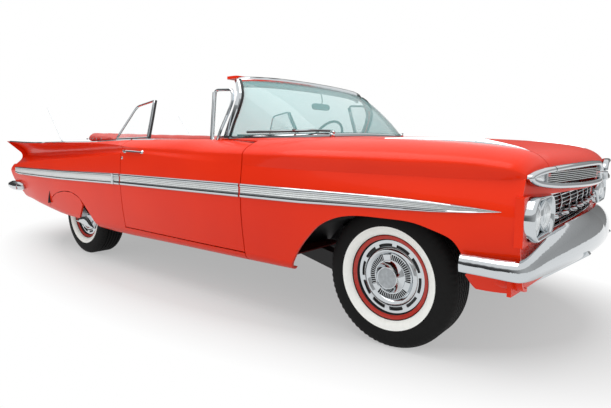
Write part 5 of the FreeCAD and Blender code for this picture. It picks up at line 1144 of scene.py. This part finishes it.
# Dashboard: a row of round dials under the brow, radio, trim strips and glove box lid.
dash = {"dials": [(0.19, 0.034), (0.285, 0.034), (0.4, 0.046), (0.515, 0.034), (0.61, 0.034)],
        "face": -0.766, "dialZ": 0.866, "tilt": (0, 1, 0.12), "radio": (-0.105, 0.105),
        "gloveBox": (-0.66, -0.24), "strips": ((0.818, 0.006), (0.829, 0.003), (0.793, 0.003)),
        "knobs": (-0.62, -0.18, 0.15)}
shape = Shape()
y, tilt = dash["face"], dash["tilt"]
for x, r in dash["dials"]:
    # Bezel, black face, marks, needle and the needle's button
    centre = np.array((x, y, dash["dialZ"]))
    shape.lathe(centre, tilt, [(r, -0.01), (r + 0.004, 0.004), (r + 0.001, 0.016), (r - 0.004, 0.014),
                               (r - 0.005, 0.002), (r - 0.006, -0.01)], steps=40)
    shape.lathe(centre, tilt, [(0, 0.0035), (r - 0.005, 0.0035), (r - 0.005, -0.008), (0, -0.008)],
                "slotBlack", 40)
    for turn in np.linspace(-2.1, 2.1, 11):
        start, stop = (centre + (math.sin(turn) * r * reach, out, math.cos(turn) * r * reach)
                       for reach, out in ((0.68, 0.0055), (0.82, 0.0045)))
        shape.rod(start, stop, 0.0007, "whitewall", 6)
    shape.rod(centre + (0, 0.0065, 0), centre + (-r * 0.5, 0.007, -r * 0.25), 0.0011, "wheelRed", 6)
    shape.lathe(centre + (0, 0.004, 0), tilt, mm((0, 6), (3, 5), (3.5, 0), (0, 0)), steps=12)
left, right = dash["radio"]
shape.box((left, y - 0.006, 0.838), (right, y + 0.004, 0.894), "insert")
shape.box((left + 0.02, y + 0.002, 0.866), (right - 0.02, y + 0.006, 0.886), "slotBlack")
for x in np.linspace(left + 0.045, right - 0.045, 5):
    shape.box((x - 0.009, y + 0.002, 0.845), (x + 0.009, y + 0.013, 0.857), "chrome", 0.002)
for x in (left + 0.014, right - 0.014, *dash["knobs"]):
    shape.lathe((x, y, 0.862), (0, 1, 0), mm((0, 20), (8, 19), (10.5, 12), (9.5, 4), (12, 0), (0, 0)),
                steps=20)
low, high = dash["gloveBox"]
shape.box((low, -0.7785, 0.838), (high, -0.766, 0.9), "brightPanel", 0.004)
shape.lathe(((low + high) / 2, -0.768, 0.87), (0, 1, 0), mm((0, 14), (8, 12), (10, 4), (0, 0)), steps=16)
for z, tall in dash["strips"]:
    for low, high in ((-0.735, 0.34), (0.46, 0.735)):
        shape.box((low, -0.787, z), (high, -0.7735, z + tall), "chrome", 0.003)
shape.piece("dashDials")

# Steering wheel: rim, two spokes, a bright horn ring and a plain button; it turns with the wheel.
wheel = {"centre": (0.4, -0.468, 0.9885), "axis": (0, 0.8829, 0.4695), "rim": 0.2, "tube": 0.0108,
         "horn": 0.122, "hornTube": 0.0036}
hub, axis = np.array(wheel["centre"]), np.array(wheel["axis"])
rise = np.array((0, -axis[2], axis[1]))
shape = Shape()
shape.lathe(hub, axis, circle(wheel["tube"], 16) + (wheel["rim"], 0), "wheelPlastic", 96)
shape.lathe(hub, axis, circle(wheel["hornTube"], 10) + (wheel["horn"], -0.004), steps=72)
shape.lathe(hub, axis, mm((0, 6), (18, 4), (30, -3), (34, -12), (0, -12)), steps=40)
shape.lathe(hub, axis, mm((0, -8), (36, -10), (42, -20), (36, -36), (0, -36)), "wheelPlastic", 40)
for way in (-1, 1):
    spoke = [hub + (way * r, 0, 0) + axis * (-0.016 + 0.016 * (r / 0.2) ** 2)
             + rise * (-0.018 * math.sin(r * 15.7))
             for r in np.linspace(0.03, 0.195, 14)]
    shape.sweep(spoke, mm((-20, -4), (-16, 4), (16, 4), (20, -4), (0, -8)), "wheelPlastic", axis,
                grow=[(0.55 + 0.45 * math.cos(i / 13 * math.pi) ** 2, 1) for i in range(14)])
    spoke = [hub + (way * r, 0, 0) + axis * (-0.002 - 0.002 * (r / 0.12))
             for r in np.linspace(0.028, 0.12, 8)]
    shape.sweep(spoke, mm((-6, -2), (0, 3), (6, -2)), up=axis)
shape.piece("steeringWheelRim", "steering_wheel", "steering_plastic", ["steering_wheel"])
shape = Shape()
stem = hub - axis * 0.11
shape.lathe(hub - axis * 0.092, axis, mm((29.5, -16), (34, -12), (34, 12), (29.5, 16)), steps=32)
for start, end, radius, knob, r in ((0.02, (0.165, 0.03, 0.02), 0.004, (0.17, 0.031, 0.0205), 0.012),
                                    (-0.02, (-0.14, 0.03, 0.01), 0.003, (-0.143, 0.0305, 0.0105), 0.008)):
    shape.rod(stem + (start, 0, 0), stem + end, radius, "chrome")
    turn = np.linspace(0, math.pi, 9)
    shape.lathe(stem + knob, (1, 0, 0), np.stack((r * np.sin(turn), r * np.cos(turn)), -1), "wheelPlastic",
                16)
shape.piece("columnLevers")
print("dashboard and steering wheel made")

# Door linings: panel, ribbed field, armrest, bright strips, crank and handle; they swing with the doors.
lining = {"front": -0.7, "rear": 0.325, "low": 0.42, "high": 0.94, "plane": 0.7845, "thick": 0.012,
          "field": (0.5, 0.66), "ribs": 14, "handles": ((-0.5, 0.745, 0.6), (0.18, 0.745, -0.4)),
          "handle": 0.085}
inside = lining["plane"] - lining["thick"]
front, rear, high, (low, top) = lining["front"], lining["rear"], lining["high"], lining["field"]
# Blocks on the panel: place along the car, height, depth into the cabin, finish, then start and bevel
# where they differ
blocks = [(front, rear, lining["low"], high, lining["thick"], "redLeather", lining["plane"], 0.004),
          (front + 0.04, rear - 0.04, low, top, 0.003, "seatCloth")]
blocks += [(y - 0.003, y + 0.003, low, top, 0.006, "redLeather")
           for y in np.linspace(front + 0.06, rear - 0.06, lining["ribs"])]
blocks += [(front + 0.02, rear - 0.02, z, z + 0.01, 0.005, "chrome") for z in (low - 0.01, top, 0.8)]
blocks += [(front + 0.02, rear - 0.02, high - 0.05, high, 0.006, "brightPanel"),
           (-0.36, 0.02, 0.69, 0.735, 0.042, "redLeather", inside + 0.002, 0.015),
           (-0.35, 0.01, 0.735, 0.741, 0.036, "seatCloth", inside + 0.002, 0.013)]
for word, way in sides.items():
    shape = Shape()
    for y0, y1, z0, z1, deep, coat, *rest in blocks:
        start, bevel = rest or (inside + 0.001, 0.0)
        shape.box((way * start, y0, z0), (way * (start - deep), y1, z1), coat, bevel)
    for y, z, turn in lining["handles"]:
        shape.lathe((way * inside, y, z), (-way, 0, 0), mm((0, 12), (16, 10), (19, 0), (0, 0)), steps=24)
        tip = (way * (inside - 0.02), y + lining["handle"] * math.cos(turn),
               z - lining["handle"] * math.sin(turn))
        shape.rod((way * (inside - 0.01), y, z), tip, 0.0045, "chrome", 8)
        shape.lathe(tip, (-way, 0, 0), mm((0, 16), (7, 13), (8, 2), (0, 0)), "wheelPlastic", 12)
    shape.piece("doorLining" + word.title(), "door_" + word, "red_paint")

# Ribbed mats on the floor, the seat's runners and the tunnel's mat; a mat's row ends with its ribs' top.
mats = {"floor": ((-1.05, -0.43, 0.3003, 0.3085, 0.312), (0.3, 0.53, 0.309, 0.316, 0.3195)),
        "x": (0.17, 0.73), "ribs": 12, "runners": (0.3, 0.6)}
shape = Shape()
left, right = mats["x"]
for way in sides.values():
    for y0, y1, low, high, top in mats["floor"]:
        shape.box((way * left, y0, low), (way * right, y1, high), "matRed", 0.02)
        for x in np.linspace(left + 0.04, right - 0.04, mats["ribs"]):
            shape.box((way * x - 0.006, y0 + 0.04, 0.308), (way * x + 0.006, y1 - 0.04, top), "matRed")
    for x in mats["runners"]:
        shape.box((way * (x - 0.012), -0.3, 0.301), (way * (x + 0.012), 0.12, 0.326), "frameBlack")
shape.box((-0.13, -0.98, 0.4303), (0.13, 0.5, 0.437), "matRed", 0.02)
shape.piece("floorMats", "car_body", "frame_black")
print("doors and floor made")


# Tail: cat-eye lamps by width and height, blank plate, lock, bumper ends and guards before the rear wheels.
tail = {"eye": [(0.296, 0.79), (0.289, 0.812), (0.294, 0.836), (0.33, 0.862), (0.42, 0.873), (0.6, 0.882),
                (0.76, 0.898), (0.73, 0.876), (0.56, 0.824), (0.42, 0.79), (0.35, 0.781)],
        "middle": (0.46, 0.838), "y": (2.54, 2.57), "lift": 0.012, "rim": 0.0065,
        "backup": (0.345, 0.828, 0.024), "plate": (0.155, 0.618, 0.15), "bumperZ": 0.53,
        "guard": [(0.862, 0.279), (0.9, 0.318), (0.94, 0.346), (0.982, 0.36), (1.03, 0.353), (1.08, 0.339),
                  (1.115, 0.322), (1.14, 0.307), (1.08, 0.301), (1.02, 0.29), (0.97, 0.281), (0.91, 0.277)],
        "gap": (1.6, 1.72)}
eye, middle = curve(tail["eye"], 66, closed=True), np.array(tail["middle"])
skin = Skin("tail_panel", "taillamps", "trunk_lid")
for word, way in sides.items():
    # The rim's seat on the tail, smoothed and kept between two depths
    found = [skin.hit((way * x, 4, z), (0, -1, 0)) for x, z in eye]
    rest = np.array([tail["y"][0] if spot is None else max(spot.y, tail["y"][0]) for spot in found])
    rest = np.maximum(rest, sum(np.roll(rest, k) for k in (2, -2, 4, -4)) / 4)
    rest = np.minimum(rest, tail["y"][1])
    rings = []
    for share, lift in ((1.0, 0.0), (0.97, 0.35), (0.86, 0.72), (0.62, 0.92), (0.3, 1.0)):
        x, z = (middle + (eye - middle) * share).T
        y = rest * share + rest.max() * (1 - share) + tail["lift"] * lift
        rings.append(np.stack((way * x, y, z), -1))
    shape, rim = Shape(), Shape()
    shape.stack([rings[0] - (0, 0.035, 0), *rings], "redLens")
    shape.piece("tailLens" + word.title(), "car_body", "red_lens", ["taillamps"])
    r = tail["rim"]
    rim.sweep(rings[0] + (0, 0.002, 0), even((r, -0.03), (r, 0.005), (r * 0.5, 0.011)), up=(0, 1, 0),
              closed=True)
    x, z, r = tail["backup"]
    front = rest[np.argmin((eye[:, 0] - x) ** 2 + (eye[:, 1] - 0.86) ** 2)]
    rim.lathe((way * x, front, z), (0, 1, 0), [(r - 0.004, 0.012), (r + 0.003, 0.02), (r + 0.005, 0.012),
                                               (r + 0.005, 0), (r - 0.004, 0)], steps=32)
    rim.lathe((way * x, front + 0.002, z), (0, 1, 0), [(0, 0.0175), (r * 0.6, 0.0155), (r - 0.003, 0.01),
                                                       (r - 0.003, 0), (0, 0)], "backupLens", 32)
    rim.piece("tailRim" + word.title(), replaces=["taillamps"])

# A blank plate in its bright frame, upright at the panel's furthest point, with a bracket behind it
skin = Skin("tail_panel")
half, z, tall = tail["plate"]
deep = max(skin.hit((0, 4, z + step), (0, -1, 0)).y for step in np.linspace(-tall / 2, tall / 2, 7)) + 0.006
low, high = z - tall / 2, z + tall / 2
shape = Shape()
front = np.array([[(x, deep + 0.004, z) for x in (-half, half)] for z in (low, high)])
shape.slab(front, front - (0, 0.008, 0), "whitewall")
shape.box((-0.05, deep - 0.06, z - 0.03), (0.05, deep - 0.004, z + 0.02), "frameBlack")
corners = np.array([(-half, deep, low), (half, deep, low), (half, deep, high), (-half, deep, high)])
shape.sweep([one * (1 - t) + two * t for one, two in zip(corners, np.roll(corners, -1, 0))
             for t in (0.03, 0.5, 0.97)], circle(0.006, 8), up=(0, 1, 0), closed=True)
for x in (-0.11, 0.11):
    shape.lathe((x, deep, high - 0.02), (0, 1, 0), mm((0, 8), (6, 6), (7, 0), (0, 0)), steps=12)
shape.piece("plateBlank")

# The lid's lock and its narrow bright lip, which open with the lid
skin = Skin("trunk_lid")
shape = Shape()
lip = [(x, 2.515, skin.top(x, 2.515)) for x in np.linspace(-0.6, 0.6, 33)]
shape.sweep([(x, y, z + 0.001) for x, y, z in lip if z is not None], even(*mm((7, -3), (5, 5))))
shape.lathe((0, 2.44, skin.top(0, 2.44) - 0.002), (0, 0.1, 1),
            mm((0, 11), (12, 10), (18, 6), (20, 0), (0, 0)), steps=32)
shape.piece("lidLip", "trunk_lid")

# The rear bumper's ends swell into long bullets.
shape = Shape()
for way in sides.values():
    shape.lathe((way * 0.962, 2.4, tail["bumperZ"]), (0, 1, 0),
                mm((0, -200), (26, -185), (40, -140), (47, -60), (48, 0), (43, 70), (30, 130), (13, 172),
                   (0, 180)), steps=32)
shape.piece("rearBumperEnds")
edge = curve(tail["guard"], 48, closed=True)
middle = edge.mean(0)
for word, way in sides.items():
    skin = Skin("quarter_" + word)
    out = max(skin.side(y, 0.33, way, other=0) for y in (0.8, 0.84, 0.88)) or 0.94
    shape = Shape()
    steps = ((1, -0.006), (1, 0.003), (0.86, 0.0075), (0.5, 0.011), (0.12, 0.012))
    rings = [[(way * (out + lift), *spot) for spot in middle + (edge - middle) * share]
             for share, lift in steps]
    shape.stack(rings, "chrome")
    shape.piece("gravelGuard" + word.title())
    # Body colour behind the gap at the skirt's rear end
    shape = Shape()
    for z in np.arange(0.38, 0.56, 0.01):
        deep = skin.side(1.74, z + 0.005, way, other=0.95)
        shape.box((way * (deep - 0.006), tail["gap"][0], z), (way * (deep - 0.03), tail["gap"][1], z + 0.01),
                  "paint")
    shape.piece("skirtBacking" + word.title(), "car_body", "red_paint")
print("tail made")


# The frame's front end rises to clear the apron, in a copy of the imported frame.
rails = {"start": -1.95, "end": -2.33, "foot": 0.175, "rise": 0.2}
mesh = nodes["chassis_frame"].data.copy()
shell = bmesh.new()
shell.from_mesh(mesh)
bmesh.ops.remove_doubles(shell, verts=shell.verts, dist=1e-6)
for corner in shell.verts:
    # Each low corner ahead of the start is lifted in step with its distance.
    share = (rails["start"] - corner.co.y) / (rails["start"] - rails["end"])
    if share > 0:
        corner.co.z = max(corner.co.z, rails["foot"] + rails["rise"] * min(share, 1))
bmesh.ops.dissolve_degenerate(shell, edges=shell.edges, dist=1e-6)
shell.to_mesh(mesh)
shell.free()
mesh.name = "frameRails"
dress(link("frameRails", mesh), "car_body", ["chassis_frame"])

# The apron closes the corners under the nose.
apron = {"line": [(0.962, -2.21), (0.958, -2.3), (0.932, -2.385), (0.88, -2.44), (0.8, -2.475)],
         "height": 0.43, "half": 0.046, "tuck": 0.07, "thick": 0.004}
half, tuck, thick = apron["half"], apron["tuck"], apron["thick"]
share = np.linspace(0, 1, 50)
grow = np.stack((np.ones(50), np.minimum(1, np.minimum(0.55 + 6 * share, 0.25 + 2.5 * (1 - share)))), -1)
for word, way in sides.items():
    line = curve([(way * x, y, apron["height"]) for x, y in apron["line"]], 50)
    line[:, 2] += half * (1 - np.minimum(1, 0.25 + 2.5 * (1 - share)))
    shape = Shape()
    shape.sweep(line, [(0, half), (way * thick, half), (way * (tuck + thick), -half), (way * tuck, -half)],
                "paint", grow=grow)
    shape.piece("frontApron" + word.title(), "car_body", "red_paint")
print("underside made")


studio = {"floorHalf": 60, "floorTone": 0.5, "floorLift": 0.42, "poolSide": 1.15, "poolLong": 2.5,
          "poolEdge": 1.65, "under": 0.12, "horizon": 0.26, "zenith": 1.0,
          "lampPlace": (-1.5, 0, 6), "lampSize": (7, 5), "lampPower": 250, "ringRadius": 9.0,
          "ringLow": 0.25, "ringHigh": 4.4, "ringDark": 0.06, "ringLight": 0.4, "ringFront": 0.55}


def stageMesh(name, points, faces):
    # A stage piece with a finish of its own, still without nodes.
    mesh = bpy.data.meshes.new(name)
    mesh.from_pydata(points, [], faces)
    finish = Finish(name)
    mesh.materials.append(finish.material)
    thing = link(name, mesh)
    return thing, finish


def glow(finish, colour):
    return finish.node("ShaderNodeEmission", values={"Color": colour, "Strength": 1.0})


# The floor takes the car's shadow in a pool round it, and is plain white beyond.
half = studio["floorHalf"]
_, f = stageMesh("studioFloor", [(-half, -half, 0), (half, -half, 0), (half, half, 0), (-half, half, 0)],
                 [(0, 1, 2, 3)])
x, y = f.axis(0) / studio["poolSide"], f.axis(1) / studio["poolLong"]
white = f.span((x * x + y * y) ** 0.5, 1.0, studio["poolEdge"]) + f.rays() * studio["floorLift"]
lit = f.node("ShaderNodeBsdfDiffuse", values={"Color": (studio["floorTone"],) * 3 + (1,)})
f.surface(f.node("ShaderNodeMixShader", values={0: white, 1: lit, 2: glow(f, (1, 1, 1, 1))}))

# A dark wall round the car that only reflections see, as in a studio; it is lighter higher up and in front.
size, radius, high = 64, studio["ringRadius"], studio["ringHigh"]
rings = [(*spot, z) for z in (studio["ringLow"], high) for spot in circle(radius, size)]
ring, f = stageMesh("studioRing", rings, gridFaces(2, size, False, True).tolist())
tone = f.node("ShaderNodeValToRGB", {"stops": [(0.0, (studio["ringDark"],) * 3),
                                               (1.0, (studio["ringLight"],) * 3)]},
              {0: f.span(f.axis(2), high * 0.55, high)})
f.surface(glow(f, f.blend(f.span(f.axis(1), 0.0, -radius), tone, (studio["ringFront"],) * 3)))
ring.visible_camera = ring.visible_diffuse = ring.visible_transmission = ring.visible_shadow = False

# The sky is white to the camera; the light it gives grows from below to above.
world = bpy.data.worlds.new("studioSky")
bpy.context.scene.world = world
world.use_nodes = True
f = Finish("studioSkyParts")
f.tree = world.node_tree
f.tree.nodes.clear()
stops = {0.0: "under", 0.5: "horizon", 0.62: "zenith"}
stops = [(place, (studio[word],) * 3) for place, word in stops.items()]
shade = f.node("ShaderNodeValToRGB", {"stops": stops}, {0: f.axis(2, "Generated") * 0.5 + 0.5})
light = f.node("ShaderNodeBackground", values={0: f.blend(f.rays(), shade, (1, 1, 1)), 1: 1.0})
f.node("ShaderNodeOutputWorld", values={"Surface": light})

data = bpy.data.lights.new("overhead", "AREA")
data.shape = "RECTANGLE"
data.size, data.size_y = studio["lampSize"]
data.energy = studio["lampPower"]
lamp = link("overhead", data)
lamp.location = studio["lampPlace"]
lamp.rotation_euler = (-lamp.location).to_track_quat("-Z", "Y").to_euler()
bpy.context.scene.view_settings.view_transform = "Standard"
